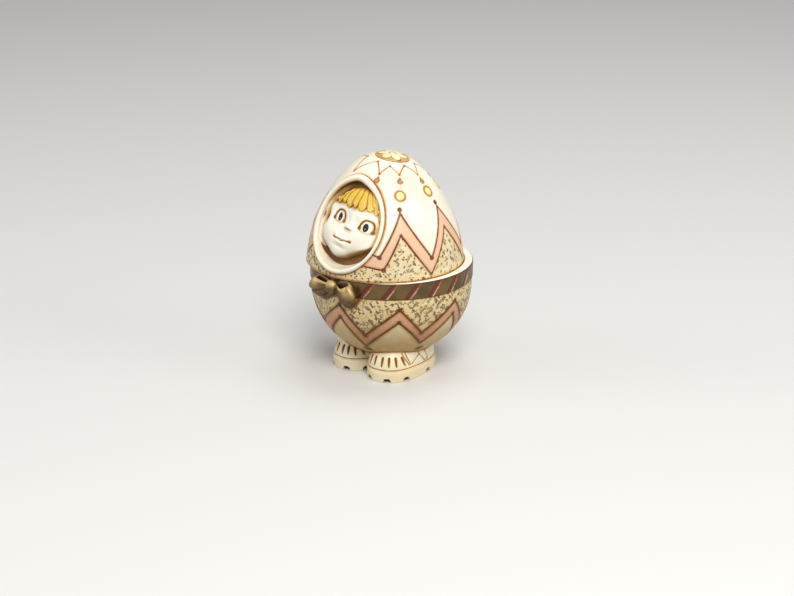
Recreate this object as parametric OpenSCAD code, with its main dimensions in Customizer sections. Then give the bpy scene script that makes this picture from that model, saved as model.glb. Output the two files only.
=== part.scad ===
// Egg-shaped keepsake box: a hooded child looks out of the lift-off lid, and the bowl below
// wears a ribbon with a bow and stands on two chunky boots.
// The figure looks along -Y, its left hand side is +X, and the boots stand on Z = 0.

/* [Egg] */
// Widest radius of the bowl
egg_r = 25; // [24:0.25:26]
// Height of the bowl's bottom over the ground
bowl_z = 4.3; // [4:0.1:4.8]
// Height of the lid above the seam
lid_h = 33.5; // [32:0.5:35]
// Radius of the lid's crown
crown_r = 15.5; // [14.5:0.25:16.5]
// Depth below the seam where the lid's side curve would stand upright
side_drop = 3.4; // [2:0.2:5]
// Width of bowl ledge that would show round a centred lid
ledge = 0.6; // [0.3:0.1:1]
// Depth below the seam where the bowl starts to turn in
belly_drop = 6.5; // [6:0.25:7.5]
// How much less the belly curve's radius is than the bowl's radius
belly_inset = 1.5; // [1.2:0.1:2]
// How far the bowl's bottom reaches below the belly curve
bottom_drop = 0.2; // [0.1:0.05:0.3]
// Wall of the bowl and the lid
wall = 4.4; // [4:0.1:5]

/* [Seat] */
// Radial play of the lid's spigot in the bowl's mouth
seat_play = 2.25; // [1.5:0.05:2.5]
// Gap left where the spigot leans towards the mouth
seat_gap = 0.3; // [0.2:0.05:0.5]
// Direction in which the lid has slid, from the front towards the figure's left
lean_dir = -46; // [-90:1:90]
// Turn of the lid on its seat
lid_turn = 6; // [-10:1:10]
// Depth of the spigot below the seam
spigot_h = 3.2; // [2.5:0.1:4.5]
// Wall of the spigot
spigot_w = 2; // [1.5:0.1:2.5]
// Thickness of the lid's floor ring above the seam
flange_h = 2.4; // [2:0.1:3]

/* [Hood] */
// Radius of the hood's lower, wider curve
hood_r = 12.6; // [12:0.1:13]
// Radius of the hood's narrow top curve
hood_top_r = 7; // [6.5:0.1:7.5]
// Height of the lower curve's centre above the seam
hood_up = 13.9; // [13.6:0.1:14.4]
// Rise from the lower curve's centre to the top curve's centre
hood_rise = 8; // [7.5:0.1:8.5]
// Width of the hood's rolled rim
rim_w = 1.6; // [1.4:0.1:2]
// Height of the rim over the lid
rim_h = 1; // [0.8:0.1:1.3]
// Width and drop of the step that rounds the rim
rim_step = 0.35; // [0.3:0.05:0.5]

/* [Face] */
// Depth of the recess floor behind the lid's edge, at the hood's lower centre
recess_d = 8; // [7.4:0.1:8.4]
// Backward slope of the recess floor
face_tilt = 24; // [20:1:27]
// Thickness of the recess floor
floor_t = 3; // [2.5:0.1:4]
// Height of the face over the recess floor
face_h = 4; // [3.5:0.1:4.5]
// Half width of the face
face_w = 9.6; // [9.2:0.1:9.8]
// Length from the middle of the face to the chin
face_drop = 9.4; // [8.8:0.1:10]
// Height of the hairline over the middle of the face
hairline = 6.1; // [5.8:0.1:6.5]
// Head turned to the figure's left, as a shift of the features
face_shift = 2.1; // [0:0.1:2.5]
// Head leaning to the figure's left
face_roll = 11; // [0:1:15]
// Half of the distance between the eyes
eye_x = 5.1; // [4.6:0.1:5.4]
// Extra height of the fringe over the forehead
hair_t = 0.9; // [0.6:0.1:1.2]
// Locks across the fringe
hair_locks = 9; // [7:1:11]

/* [Crown] */
// Radius of the medallion on the crown
medal_r = 5.4; // [5:0.1:5.8]
// Thickness of the medallion
medal_t = 0.3; // [0.2:0.05:0.5]
// Shift of the medallion to the figure's left
medal_x = 2.2; // [0:0.1:2.5]
// Shift of the medallion to the back
medal_y = 0.9; // [0:0.1:1.5]

/* [Ribbon] */
// Width of the ribbon round the bowl
belt_w = 4.4; // [4:0.1:5]
// Bowl lip left above the ribbon
lip_h = 0.7; // [0.5:0.1:1]
// How deep the ribbon lies in the bowl's wall
belt_depth = 0.9; // [0.6:0.1:1.2]
// How far the ribbon stands out of the bowl
belt_proud = 0.15; // [0.1:0.05:0.3]

/* [Bow] */
// Turn of the bow from the front towards the figure's left
bow_turn = 2; // [-3:1:6]
// Height of the knot under the seam
knot_drop = 2.5; // [2.5:0.1:3]
// Half width, half height and half depth of the knot
knot_size = [2.1, 2, 1.7]; // [1.6:0.1:2.4]
// Length of a loop from the knot outwards
loop_l = 6.4; // [6:0.1:7]
// Depth of a loop away from the ribbon
loop_d = 3.8; // [3.6:0.1:4.2]
// Ribbon thickness in the bow
loop_t = 0.7; // [0.6:0.05:0.8]
// Rise of a loop's end over the knot
loop_up = 2.4; // [2:0.1:2.4]
// Drop of a loop's end below the knot
loop_down = 4.6; // [4:0.1:5]
// Length of the loose tail
tail_l = 7; // [6:0.5:8]

/* [Boots] */
// Half length of a sole
boot_l = 13; // [12.5:0.1:13.5]
// Half width of a sole
boot_w = 8.1; // [7.8:0.1:8.4]
// Distance of a boot's middle from the middle of the figure
boot_x = 6.6; // [6.4:0.1:7]
// Distance of the boots' middle in front of the egg's axis
boot_y = 2.4; // [2:0.1:3]
// Outward turn of each boot
boot_splay = 8; // [5:1:10]
// Gap between the two boots
boot_gap = 0.4; // [0.3:0.1:0.5]
// Thickness of a sole
sole_t = 3.5; // [3.2:0.1:3.8]
// Height of the boot's dome over the sole
boot_h = 10; // [9:0.5:11]
// Step in from the sole's edge to the upper
welt = 0.35; // [0.2:0.05:0.5]
// Notches round a sole's edge
notches = 9; // [7:1:11]
// Width of a notch
notch_w = 2.1; // [1.6:0.1:2.4]
// Height of a notch
notch_h = 1.2; // [0.8:0.1:1.4]
// Depth of a notch into the sole
notch_d = 1.4; // [1:0.1:1.8]

/* [Hidden] */
$fn = 96;

// Gap left under pieces that are glued on a curved face
glue = 0.05;
// Larger than the whole egg, for cutting tools
big = 200;

// Bowl: a straight wall, a belly arc and a bottom arc that run into each other
belly_r = egg_r - belly_inset;
belly_z = bowl_z + bottom_drop + belly_r;
seam_z = belly_z + belly_drop;
bottom_up = (belly_inset ^ 2 - bottom_drop ^ 2) / (2 * bottom_drop);
bottom_r = belly_r + bottom_drop + bottom_up;
bottom_z = belly_z + bottom_up;
bottom_slope = -bottom_up / (bottom_r - belly_r);

// Lid: a side arc from the seam and a crown arc that run into each other
lid_r = egg_r - ledge;
crown_up = lid_h - crown_r;
side_k = (lid_r ^ 2 + side_drop ^ 2 + crown_r ^ 2 - (crown_up + side_drop) ^ 2) / (2 * crown_r);
side_m = lid_r / crown_r;
side_q = [side_m ^ 2 - 1, side_k * side_m - lid_r, side_k ^ 2 - lid_r ^ 2 - side_drop ^ 2];
side_c = (-side_q[1] + sqrt(side_q[1] ^ 2 - side_q[0] * side_q[2])) / side_q[0];
side_r = side_k + side_m * side_c;
side_slope = (crown_up + side_drop) / (side_r - crown_r);

// Seat of the lid in the bowl
mouth_r = egg_r - wall;
spigot_r = mouth_r - seat_play;
lean = seat_play - seat_gap;

// Ribbon
belt_top = seam_z - lip_h;
belt_r = egg_r + belt_proud;
knot_z = seam_z - knot_drop;

// Hood
hood_z = seam_z + hood_up;
hood_sides = 48;
floor_y = lid_r - recess_d;

// Curvature of the jaw, and of the face towards its edges
jaw_bend = 2.4;
jaw_round = 0.55;
face_bend = 2.6;
// How far the jaw's line would reach beyond the cheeks
face_edge = 0.4;
// How far the face's dome would reach beyond the cheeks and beyond the chin
face_over = [0.9, 1.6];
// Least height of the dome, and how soon the features fade towards it
dome_min = 0.1;
dome_gain = 1.4;
// Height of the features' middle over the middle of the face
feature_y = -0.6;

// Features of the face: place sideways and up, half width, half height and relief
cheek = [5.2, -3.2, 3, 2.6, 0.7];
nose_tip = [0, -0.2, 1.1, 1.2, 1.3];
nose_bridge = [0, 1.8, 0.9, 2, 0.5];
socket = [eye_x, 2.1, 2.3, 2.1, -0.7];
eye = [eye_x, 2.1, 1.4, 1.5, 0.5];
mouth = [0, -3.9, 3, 0.45, -0.4];
lip = [0, -5, 1.9, 0.7, 0.35];
chin = [0, -7.4, 2.4, 1.8, 0.7];
// Upward bend of the mouth's line
smile = 0.05;

// Fringe: half width, gap to the rim, height at its ends, length of its roots, depth and slant of its locks
hair_w = 8.6;
hair_gap = 0.9;
hair_edge = 0.6;
hair_root = 5;
lock_h = 0.35;
lock_slant = 0.02;

// Loops of the bow: half height at the knot, gap to the ribbon, pinch at the knot and length up to the hole
loop_h = 1.2;
loop_off = 0.35;
loop_pinch = 0.5;
loop_root = 2;

// Tail of the bow: start, run for its length and half width, each along the ribbon and up
tail_from = [-0.8, 0.4 - knot_size[1]];
tail_run = [-0.62, -0.5];
tail_half = [1, -0.5];
tail_t = 0.3;

// Boots: power of the sole's rounded outline, and angle where the dome is cut off under the bowl
sole_power = 2.4;
dome_end = 80;

function gauss(x, width) = exp(-(x / width) ^ 2);

// Bowl section, drawn inwards by a wall thickness
module bowl_profile(inset = 0) {
    joint_z = bottom_z + bottom_slope * (bottom_r - inset);
    translate([0, belly_z])
        square([egg_r - inset, belly_drop]);
    intersection() {
        translate([belly_inset, belly_z])
            circle(belly_r - inset);
        translate([0, seam_z - big])
            square([big, big]);
    }
    intersection() {
        translate([0, bottom_z])
            circle(bottom_r - inset);
        translate([0, joint_z - big])
            square([big, big]);
    }
}

// Lid section, drawn inwards by a wall thickness, or outwards if that is negative
module lid_profile(inset = 0) {
    joint_z = seam_z - side_drop + side_slope * (side_r - inset);
    intersection() {
        translate([-side_c, seam_z - side_drop])
            circle(side_r - inset);
        translate([0, seam_z])
            square([big, joint_z - seam_z]);
    }
    intersection() {
        translate([0, seam_z + crown_up])
            circle(crown_r - inset);
        translate([0, joint_z])
            square([big, big]);
    }
}

// Skin of a given thickness on the outside of the lid
module lid_skin(thick) {
    rotate_extrude()
        difference() {
            lid_profile(-thick);
            lid_profile();
        }
}

// Point of an egg-shaped outline whose edge faces a given way, wide end at the origin
function egg_point(turn, wide, narrow, rise) =
    let (arc_r = (wide ^ 2 + rise ^ 2 - narrow ^ 2) / (2 * (wide - narrow)))
    let (joint = atan2(rise, arc_r - wide), way = [cos(turn), sin(turn)])
    turn > 180 ? wide * way
        : turn > joint && turn < 180 - joint ? [0, rise] + narrow * way
        : [sign(way[0]) * (wide - arc_r), 0] + arc_r * way;

module egg_outline(wide, narrow, rise) {
    polygon([for (k = [0:hood_sides - 1]) egg_point(360 * k / hood_sides, wide, narrow, rise)]);
}

// Column through the hood's front, drawn inwards from the rim's outer edge
module hood_column(inset) {
    translate([0, 0, hood_z])
        rotate([90, 0, 0])
            linear_extrude(2 * egg_r)
                egg_outline(hood_r - inset, hood_top_r - inset, hood_rise);
}

// Puts lid pieces where the lid rests: slid on its seat and a little turned
module on_seat() {
    translate(lean * [sin(lean_dir), -cos(lean_dir), 0])
        rotate(lid_turn)
            children();
}

// Frame of the recess floor: X to the figure's left, Y up the floor, Z outwards
module on_recess() {
    translate([0, -floor_y, hood_z])
        rotate([90 - face_tilt, 0, 0])
            children();
}

// Closed solid under a height field: columns from low to high, flat at the back
module relief(xs, low, high, rows, height) {
    cols = len(xs) - 1;
    step = rows + 1;
    front = [for (x = xs) for (j = [0:rows])
        let (y = low(x) + (high(x) - low(x)) * j / rows) [x, y, height(x, y)]];
    flat = [for (p = front) [p[0], p[1], 0]];
    size = len(front);
    last = size + cols * step;
    skin = [for (i = [0:cols - 1]) for (j = [0:rows - 1]) let (a = i * step + j, b = a + step)
        each [[a, a + 1, b + 1], [a, b + 1, b]]];
    ends = [for (i = [0:cols - 1]) let (a = i * step, b = a + step, c = a + rows, d = b + rows)
        each [[a, b, size + b], [a, size + b, size + a], [c, size + c, size + d], [c, size + d, d]]];
    sides = [for (j = [0:rows - 1]) let (a = j, b = cols * step + j)
        each [[a, size + a, size + a + 1], [a, size + a + 1, a + 1], [b, b + 1, size + b + 1],
              [b, size + b + 1, size + b]]];
    strips = [for (i = [1:cols - 2]) let (a = size + i * step, b = a + step)
        each [[a, b, b + rows], [a, b + rows, a + rows]]];
    fans = [for (j = [0:rows - 1])
        each [[size + j, size + step, size + j + 1], [last - step + rows, last + j, last + j + 1]]];
    corners = [[size + step, size + step + rows, size + rows], [last - step, last, last - step + rows]];
    polyhedron(concat(front, flat), concat(skin, ends, sides, strips, fans, corners), convexity = 8);
}

// Lower edge of the face: a round jaw, widest at the cheeks
function jaw(x) = -face_drop * (1 - (abs(x) / (face_w + face_edge)) ^ jaw_bend) ^ jaw_round;

// Features' own axes: shifted and leaning with the head
function feature_axes(x, y) =
    let (dx = x - face_shift, dy = y - feature_y)
    [dx * cos(face_roll) - dy * sin(face_roll), dx * sin(face_roll) + dy * cos(face_roll)];

// Relief of one feature, the same on both sides of the nose
function bump(f, a, b) = f[4] * gauss(abs(a) - f[0], f[2]) * gauss(b - f[1], f[3]);

// Height of the face over the recess floor
function face_relief(x, y) =
    let (p = feature_axes(x, y), a = p[0], b = p[1])
    let (across = abs(x) / (face_w + face_over[0]), along = abs(y) / (face_drop + face_over[1]))
    let (dome = sqrt(max(dome_min, 1 - across ^ face_bend - along ^ face_bend)))
    let (bumps = [for (f = [cheek, nose_tip, nose_bridge, socket, eye, lip, chin]) bump(f, a, b)])
    let (line = bump(mouth, a, b - smile * a ^ 2))
    face_h * dome + (bumps * [for (f = bumps) 1] + line) * min(1, dome * dome_gain);

// Upper edge of the recess in its floor's own axes
function recess_top(x) =
    let (wide = hood_r - rim_w, narrow = hood_top_r - rim_w)
    let (arc_r = (wide ^ 2 + hood_rise ^ 2 - narrow ^ 2) / (2 * (wide - narrow)))
    let (joint_x = (arc_r - wide) * narrow / (arc_r - narrow))
    let (up = abs(x) < joint_x ? hood_rise + sqrt(narrow ^ 2 - x ^ 2)
        : sqrt(arc_r ^ 2 - (abs(x) + arc_r - wide) ^ 2))
    up / cos(face_tilt);

// Height of the fringe: over the forehead below, falling to the recess floor at the top
function hair_relief(x, y) =
    let (root = min(1, max(0, (recess_top(x) - y) / hair_root)))
    let (lock = abs(sin(180 * hair_locks * (x / (2 * face_w) + lock_slant * (y - hairline)))))
    let (brow = face_relief(x, hairline) + hair_t - hair_edge)
    hair_edge + (brow * sin(90 * root) ^ 0.8) + lock_h * (lock - 0.6) * root;

// Point on the bow: along the ribbon, up from the knot and out from the ribbon's face
function on_bow(along, up, out) =
    let (turn = bow_turn + along / belt_r * 180 / PI, r = belt_r + out)
    [r * sin(turn), -r * cos(turn), knot_z + up];

// Solid skin over closed rings of points: each ring joins the next, and the last joins the first
module ring_loop(rings) {
    n = len(rings);
    m = len(rings[0]);
    polyhedron(
        [for (ring = rings) each ring],
        [for (i = [0:n - 1]) for (j = [0:m - 1])
            let (a = i * m + j, b = i * m + (j + 1) % m, c = ((i + 1) % n) * m + j,
                 d = ((i + 1) % n) * m + (j + 1) % m)
            each [[a, b, d], [a, d, c]]],
        convexity = 8);
}

// Solid skin over a stack of rings, closed by a fan at each end
module ring_stack(rings) {
    n = len(rings);
    m = len(rings[0]);
    polyhedron(
        concat([for (ring = rings) each ring], [mean(rings[0]), mean(rings[n - 1])]),
        concat(
            [for (i = [0:n - 2]) for (j = [0:m - 1])
                let (a = i * m + j, b = i * m + (j + 1) % m)
                each [[a, a + m, b + m], [a, b + m, b]]],
            [for (j = [0:m - 1]) [n * m, j, (j + 1) % m]],
            [for (j = [0:m - 1]) [n * m + 1, (n - 1) * m + (j + 1) % m, (n - 1) * m + j]]),
        convexity = 6);
}

function mean(points) = [for (k = [0:2]) [for (p = points) p[k]] * [for (p = points) 1 / len(points)]];

// Teardrop seen from above, narrow at the knot and round at the far end
function loop_path(from, to, half, steps) = [for (k = [0:steps - 1])
    let (t = 360 * k / steps, far = (1 - cos(t)) / 2)
    let (width = half * (loop_pinch + (1 - loop_pinch) * far))
    [from + (to - from) * far, loop_off + loop_d / 2 + width * sin(t)]];

// Ribbon loop that stands off the belt, open at the top; side is 1 for the left and -1 for the right
module bow_loop(side) {
    steps = 32;
    start = knot_size[0] + glue;
    end = start + loop_l;
    outer = loop_path(start, end, loop_d / 2, steps);
    inner = loop_path(start + loop_root, end - loop_t, loop_d / 2 - loop_t, steps);
    high = function(p) loop_h + (loop_up - loop_h) * (p[0] - start) / loop_l;
    low = function(p) -loop_h - (loop_down - loop_h) * (p[0] - start) / loop_l;
    rings = [for (k = [0:steps - 1]) let (p = outer[k], q = inner[k])
        [on_bow(side * p[0], high(p), p[1]), on_bow(side * p[0], low(p), p[1]),
         on_bow(side * q[0], low(q), q[1]), on_bow(side * q[0], high(q), q[1])]];
    ring_loop(side > 0 ? rings : [for (ring = rings) [ring[3], ring[2], ring[1], ring[0]]]);
}

// Outline of a sole: a rounded oblong, pointing forwards
function sole_point(turn, inset) =
    let (c = cos(turn), s = sin(turn), k = 2 / sole_power)
    [(boot_w - inset) * sign(c) * abs(c) ^ k, (boot_l - inset) * sign(s) * abs(s) ^ k];

// Puts a boot's pieces in place; side is 1 for the left and -1 for the right
module on_foot(side) {
    intersection() {
        translate([side * boot_x, -boot_y, 0])
            rotate(side * boot_splay)
                children();
        translate([side > 0 ? boot_gap / 2 : -big - boot_gap / 2, -big / 2, -big / 2])
            cube(big);
    }
}

module sole(side) {
    steps = 64;
    on_foot(side)
        difference() {
            linear_extrude(sole_t)
                polygon([for (k = [0:steps - 1]) sole_point(k * 360 / steps, 0)]);
            for (k = [0:notches - 1])
                let (turn = 360 * (k + 0.5) / notches, p = sole_point(turn, 0))
                translate([p[0], p[1], 0])
                    rotate(atan2(p[1] / boot_l ^ 2, p[0] / boot_w ^ 2))
                        translate([-notch_d, -notch_w / 2, -notch_h])
                            cube([big, notch_w, 2 * notch_h]);
        }
}

module boot_upper(side) {
    levels = 10;
    steps = 48;
    difference() {
        on_foot(side)
            ring_stack([for (i = [0:levels])
                let (up = sin(dome_end * i / levels), shrink = cos(dome_end * i / levels))
                [for (k = [0:steps - 1])
                    let (p = sole_point(k * 360 / steps, welt) * shrink)
                    [p[0], p[1], sole_t + boot_h * up]]]);
        rotate_extrude()
            bowl_profile();
    }
}

module base_bowl() {
    color("ivory")
        rotate_extrude()
            difference() {
                bowl_profile();
                intersection() {
                    bowl_profile(wall);
                    square([mouth_r, big]);
                }
                translate([egg_r - belt_depth, belt_top - belt_w])
                    square([big, belt_w]);
            }
}

module ribbon_band() {
    color("olivedrab")
        rotate_extrude()
            translate([egg_r - belt_depth, belt_top - belt_w])
                square([belt_depth + belt_proud, belt_w]);
}

module bow_knot() {
    levels = 10;
    steps = 20;
    color("darkgoldenrod")
        ring_stack([for (i = [1:levels - 1])
            let (up = -cos(180 * i / levels), wide = sin(180 * i / levels) ^ 0.8)
            [for (k = [0:steps - 1])
                let (t = 360 * k / steps, out = knot_size[2] * (1 + wide * sin(t)))
                on_bow(-knot_size[0] * wide * cos(t), knot_size[1] * up, glue + out)]]);
}

module bow_left_loop() {
    color("goldenrod")
        bow_loop(1);
}

module bow_right_loop() {
    color("goldenrod")
        bow_loop(-1);
}

module bow_tail() {
    steps = 8;
    color("darkgoldenrod")
        ring_stack([for (i = [0:steps])
            let (p = tail_from + tail_run * tail_l * i / steps, top = p - tail_half, low = p + tail_half)
            [on_bow(top[0], top[1], glue), on_bow(top[0], top[1], glue + tail_t),
             on_bow(low[0], low[1], glue + tail_t), on_bow(low[0], low[1], glue)]]);
}

module left_boot() {
    color("cornsilk")
        boot_upper(1);
}

module left_sole() {
    color("wheat")
        sole(1);
}

module right_boot() {
    color("cornsilk")
        boot_upper(-1);
}

module right_sole() {
    color("wheat")
        sole(-1);
}

module lid_shell() {
    color("ivory")
        on_seat()
            difference() {
                rotate_extrude()
                    difference() {
                        union() {
                            lid_profile();
                            translate([0, seam_z - spigot_h])
                                square([spigot_r, spigot_h + flange_h]);
                        }
                        intersection() {
                            lid_profile(wall);
                            translate([0, seam_z + flange_h])
                                square(big);
                        }
                        translate([0, seam_z - spigot_h])
                            square([spigot_r - spigot_w, spigot_h + flange_h]);
                    }
                hood_column(rim_w);
            }
}

module hood_rim() {
    color("floralwhite")
        on_seat() {
            intersection() {
                lid_skin(rim_h - rim_step);
                difference() {
                    hood_column(0);
                    hood_column(rim_w);
                }
            }
            intersection() {
                lid_skin(rim_h);
                difference() {
                    hood_column(rim_step);
                    hood_column(rim_w - rim_step);
                }
            }
        }
}

module face() {
    cols = 22;
    rows = 40;
    color("antiquewhite")
        on_seat() {
            intersection() {
                hood_column(rim_w);
                on_recess()
                    translate([-big / 2, -big / 2, -floor_t])
                        cube([big, big, floor_t]);
            }
            on_recess()
                relief([for (i = [-cols:cols]) face_w * i / cols], function(x) jaw(x),
                    function(x) hairline, rows, function(x, y) face_relief(x, y));
        }
}

module hair_fringe() {
    cols = 20;
    rows = 10;
    color("gold")
        on_seat()
            on_recess()
                relief([for (i = [-cols:cols]) hair_w * i / cols], function(x) hairline + glue,
                    function(x) recess_top(x) - hair_gap, rows, function(x, y) hair_relief(x, y));
}

module crown_medallion() {
    color("peru")
        on_seat()
            intersection() {
                lid_skin(medal_t);
                translate([medal_x, medal_y, seam_z + lid_h / 2])
                    cylinder(r = medal_r, h = lid_h);
            }
}

base_bowl();
ribbon_band();
bow_knot();
bow_left_loop();
bow_right_loop();
bow_tail();
left_boot();
left_sole();
right_boot();
right_sole();
lid_shell();
hood_rim();
face();
hair_fringe();
crown_medallion();
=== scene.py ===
"""Looks of the egg-shaped keepsake box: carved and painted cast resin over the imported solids.

All lengths are in millimetres and all angles in degrees until a mesh is made. An azimuth is counted
from the figure's front (-Y) towards its left hand (+X).
"""
import math
from functools import reduce

import bpy
import numpy as np
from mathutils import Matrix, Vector

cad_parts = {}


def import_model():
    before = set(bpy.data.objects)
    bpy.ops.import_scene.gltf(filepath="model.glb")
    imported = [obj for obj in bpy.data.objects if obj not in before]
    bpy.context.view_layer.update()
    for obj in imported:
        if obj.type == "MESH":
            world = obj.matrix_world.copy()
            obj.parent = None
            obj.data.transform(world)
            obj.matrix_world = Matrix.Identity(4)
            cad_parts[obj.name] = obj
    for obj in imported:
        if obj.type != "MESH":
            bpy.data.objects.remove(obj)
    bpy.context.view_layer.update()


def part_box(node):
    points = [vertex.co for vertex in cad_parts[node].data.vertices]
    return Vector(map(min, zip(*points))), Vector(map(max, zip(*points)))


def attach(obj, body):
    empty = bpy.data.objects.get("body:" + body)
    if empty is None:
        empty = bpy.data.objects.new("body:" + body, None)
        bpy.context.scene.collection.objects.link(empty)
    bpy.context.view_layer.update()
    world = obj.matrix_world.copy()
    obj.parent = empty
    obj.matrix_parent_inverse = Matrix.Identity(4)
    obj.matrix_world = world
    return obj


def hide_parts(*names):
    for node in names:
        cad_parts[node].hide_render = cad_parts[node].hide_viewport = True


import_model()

MM, DEGREE, TINY = 0.001, math.pi / 180, 1e-9


def cad(node):
    """Lowest and highest corner of a CAD node."""
    low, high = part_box(node)
    return np.array(low) / MM, np.array(high) / MM


# Sizes that the solids give
bowl_low, bowl_high = cad("base_bowl")
lid_low, lid_high = cad("lid_shell")
belt_low, belt_high = cad("ribbon_band")
EGG_R = (bowl_high[0] - bowl_low[0]) / 2
SEAM_Z = bowl_high[2]
LID_R = (lid_high[0] - lid_low[0]) / 2
LID_TOP = lid_high[2]
SEAT = (lid_low[:2] + lid_high[:2]) / 2
BELT_R = (belt_high[0] - belt_low[0]) / 2

# Sizes of the sections
WALL = 4.4
BELLY_DROP, BELLY_INSET, BOTTOM_DROP = 6.5, 1.5, 0.2
BELT_DEPTH = 0.9
CROWN_R, SIDE_DROP = 15.5, 3.4
SPIGOT_R, SPIGOT_W, SPIGOT_H, FLANGE_H = 18.35, 2.0, 3.2, 2.4
LID_TURN = 6.0

# Hood and recess
HOOD_R, HOOD_TOP_R, HOOD_RISE, HOOD_UP = 12.6, 7.0, 8.0, 13.9
HOOD_Z = SEAM_Z + HOOD_UP
RIM_W, RIM_H = 1.6, 1.0
FLOOR_Y, FLOOR_TILT, FLOOR_T = 16.4, 24.0, 3.0

# Paint, as it looks in plain light, save the colours noted below, which also stand in for shade or highlight
CREAM = (242, 238, 223)
CREAM_WARM = (238, 229, 200)
PINK = (234, 192, 158)
# Pink of the lower band: the upper band's pink darkened as painted shade
PINK_SHADED = (216, 170, 134)
BROWN = (92, 50, 22)
BROWN_LIGHT = (116, 66, 26)
RUST = (156, 106, 66)
OCHRE = (190, 146, 80)
YELLOW = (240, 226, 160)
GOLDEN = (222, 180, 104)
# Brown of the wash in hollows, also used as painted shade under things, along seams and towards the bottom
SHADE_AND_WASH = (118, 78, 26)
# Deep brown of the recess: wash and painted shade inside the hood and on the recess floor
DEEP = (118, 76, 20)
BRONZE = (112, 88, 46)
BRONZE_DARK = (86, 65, 34)
STRIPE = (98, 48, 30)
HAIR, HAIR_LIGHT, HAIR_SHINE, HAIR_SHADE_AND_WASH = (198, 158, 46), (214, 178, 66), (238, 210, 96), (116, 70, 14)
SKIN, SKIN_WARM = (248, 245, 234), (246, 239, 219)
FACE_LINE, BLACK, GLINT = (104, 62, 26), (9, 6, 5), (170, 168, 168)
# Creams of the bowl: warmer and darker than the lid's, as painted shade of the lower half; the last colour is
# a painted shadow
BOWL_CREAM, BOWL_WARM, BOW_SHADOW = (240, 229, 190), (236, 220, 172), (66, 40, 18)
SPECKLE_GROUND, SPECKLE_PIT = (230, 206, 150), (104, 76, 18)
BOOT_CREAM, BOOT_WARM, BOOT_SLOT, BOOT_LINE = (250, 243, 216), (244, 230, 190), (144, 102, 54), (140, 96, 46)
SOLE_CREAM, SOLE_WARM = (248, 238, 206), (238, 222, 180)
MEDAL_CREAM, MEDAL_WARM, MEDAL_LINE = (242, 234, 196), (234, 218, 168), (150, 112, 62)
DROP, HOOD_LINE = (202, 152, 114), (176, 130, 68)
# Bronze colours: a reddish blush and a cream hairline edge each stripe, partly as painted highlight; rubbed
# gold that also paints highlights; a dark wash that also paints shade
BLUSH, HAIRLINE, BRONZE_WEAR_AND_HIGHLIGHT, BRONZE_SHADE_AND_WASH = (158, 92, 72), (228, 204, 160), (216, 188, 130), (50, 32, 14)
FLOOR_SEEN, FLOOR_LIT, SKY = (220, 219, 216), (140, 134, 124), (236, 236, 240)

# Mesh columns round the carved skins and round the insides, and rows up the skins
ROUND, BOWL_INSIDE, LID_INSIDE = 560, 240, 200
FOOT_ROWS, BAND_ROWS, LID_ROWS = 24, 112, 142

# A carved line sinks from its rim to its full depth between these distances from its edge
CUT_EDGE = (0.15, -0.2)


# Curves and grids

def cosine(turn):
    """Cosine of an angle in degrees."""
    return np.cos(np.asarray(turn) * DEGREE)


def sine(turn):
    """Sine of an angle in degrees."""
    return np.sin(np.asarray(turn) * DEGREE)


def join(*coordinates):
    """Points from their coordinates."""
    return np.stack(np.broadcast_arrays(*coordinates), axis=-1)


def least(*fields):
    """The lowest of some fields at every point."""
    return reduce(np.minimum, fields)


def limit(value):
    """Values held between 0 and 1."""
    return np.clip(value, 0.0, 1.0)


def circle(count):
    """Evenly spaced azimuths all round."""
    return np.arange(count) * 360 / count


def arc(centre, radius, start, end, count):
    """Points of an arc, as rows of two."""
    turn = np.linspace(start, end, count)
    return np.array(centre) + radius * join(cosine(turn), sine(turn))


def resample(curve, count):
    """The same curve with evenly spaced points."""
    steps = np.linalg.norm(np.diff(curve, axis=0), axis=1)
    along = np.concatenate([[0], np.cumsum(steps)])
    even = np.linspace(0, along[-1], count)
    return join(*(np.interp(even, along, values) for values in curve.T))


def smooth(value, low, high):
    """0 below low, 1 above high, with a soft change between them; low may be the larger one."""
    t = limit((value - low) / (high - low))
    return t * t * (3 - 2 * t)


def grid(rows, columns, wrap=True, close=False):
    """Faces of a grid of points in rows; wrap joins its last column to the first, close its last row."""
    i = np.arange(rows if close else rows - 1)[:, None]
    j = np.arange(columns if wrap else columns - 1)[None, :]
    k, m = (i + 1) % rows, (j + 1) % columns
    return join(i * columns + j, i * columns + m, k * columns + m, k * columns + j).reshape(-1, 4)


def unit(vectors):
    """Vectors brought to a length of 1."""
    return vectors / np.maximum(np.linalg.norm(vectors, axis=-1, keepdims=True), TINY)


def grid_normals(points):
    """Normals of a grid of points in rows, from its columns and rows."""
    return unit(np.cross(np.gradient(points, axis=1), np.gradient(points, axis=0)))


def turned(curve, columns):
    """A section of radius and height turned about Z: points and outward normals in rows."""
    turn = circle(columns)
    d = unit(np.gradient(curve, axis=0))
    return [join(r * sine(turn), -r * cosine(turn), z)
            for r, z in ((curve[:, :1], curve[:, 1:]), (d[:, 1:], -d[:, :1]))]


def azimuth(points):
    """Azimuth of each point, from -180 to 180."""
    return np.degrees(np.arctan2(points[..., 0], -points[..., 1]))


def distance(points, path):
    """Distance of each point from a path of straight pieces."""
    points = points.reshape(-1, points.shape[-1])
    best = np.full(len(points), np.inf)
    for a, b in zip(path[:-1], path[1:]):
        ab = b - a
        t = limit((points - a) @ ab / max(ab @ ab, 1e-12))
        gap = points - a - t[:, None] * ab
        best = np.minimum(best, np.einsum("ij,ij->i", gap, gap))
    return np.sqrt(best)


def outside(points, path):
    """Distance of each point from a closed path, negative inside it."""
    x, y = points.T
    inside = np.zeros(len(points), bool)
    for (x0, y0), (x1, y1) in zip(path[:-1], path[1:]):
        cross = (y0 > y) != (y1 > y)
        inside ^= cross & (x < (x1 - x0) * (y - y0) / (y1 - y0 + TINY ** 2) + x0)
    return distance(points, path) * np.where(inside, -1, 1)


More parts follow.
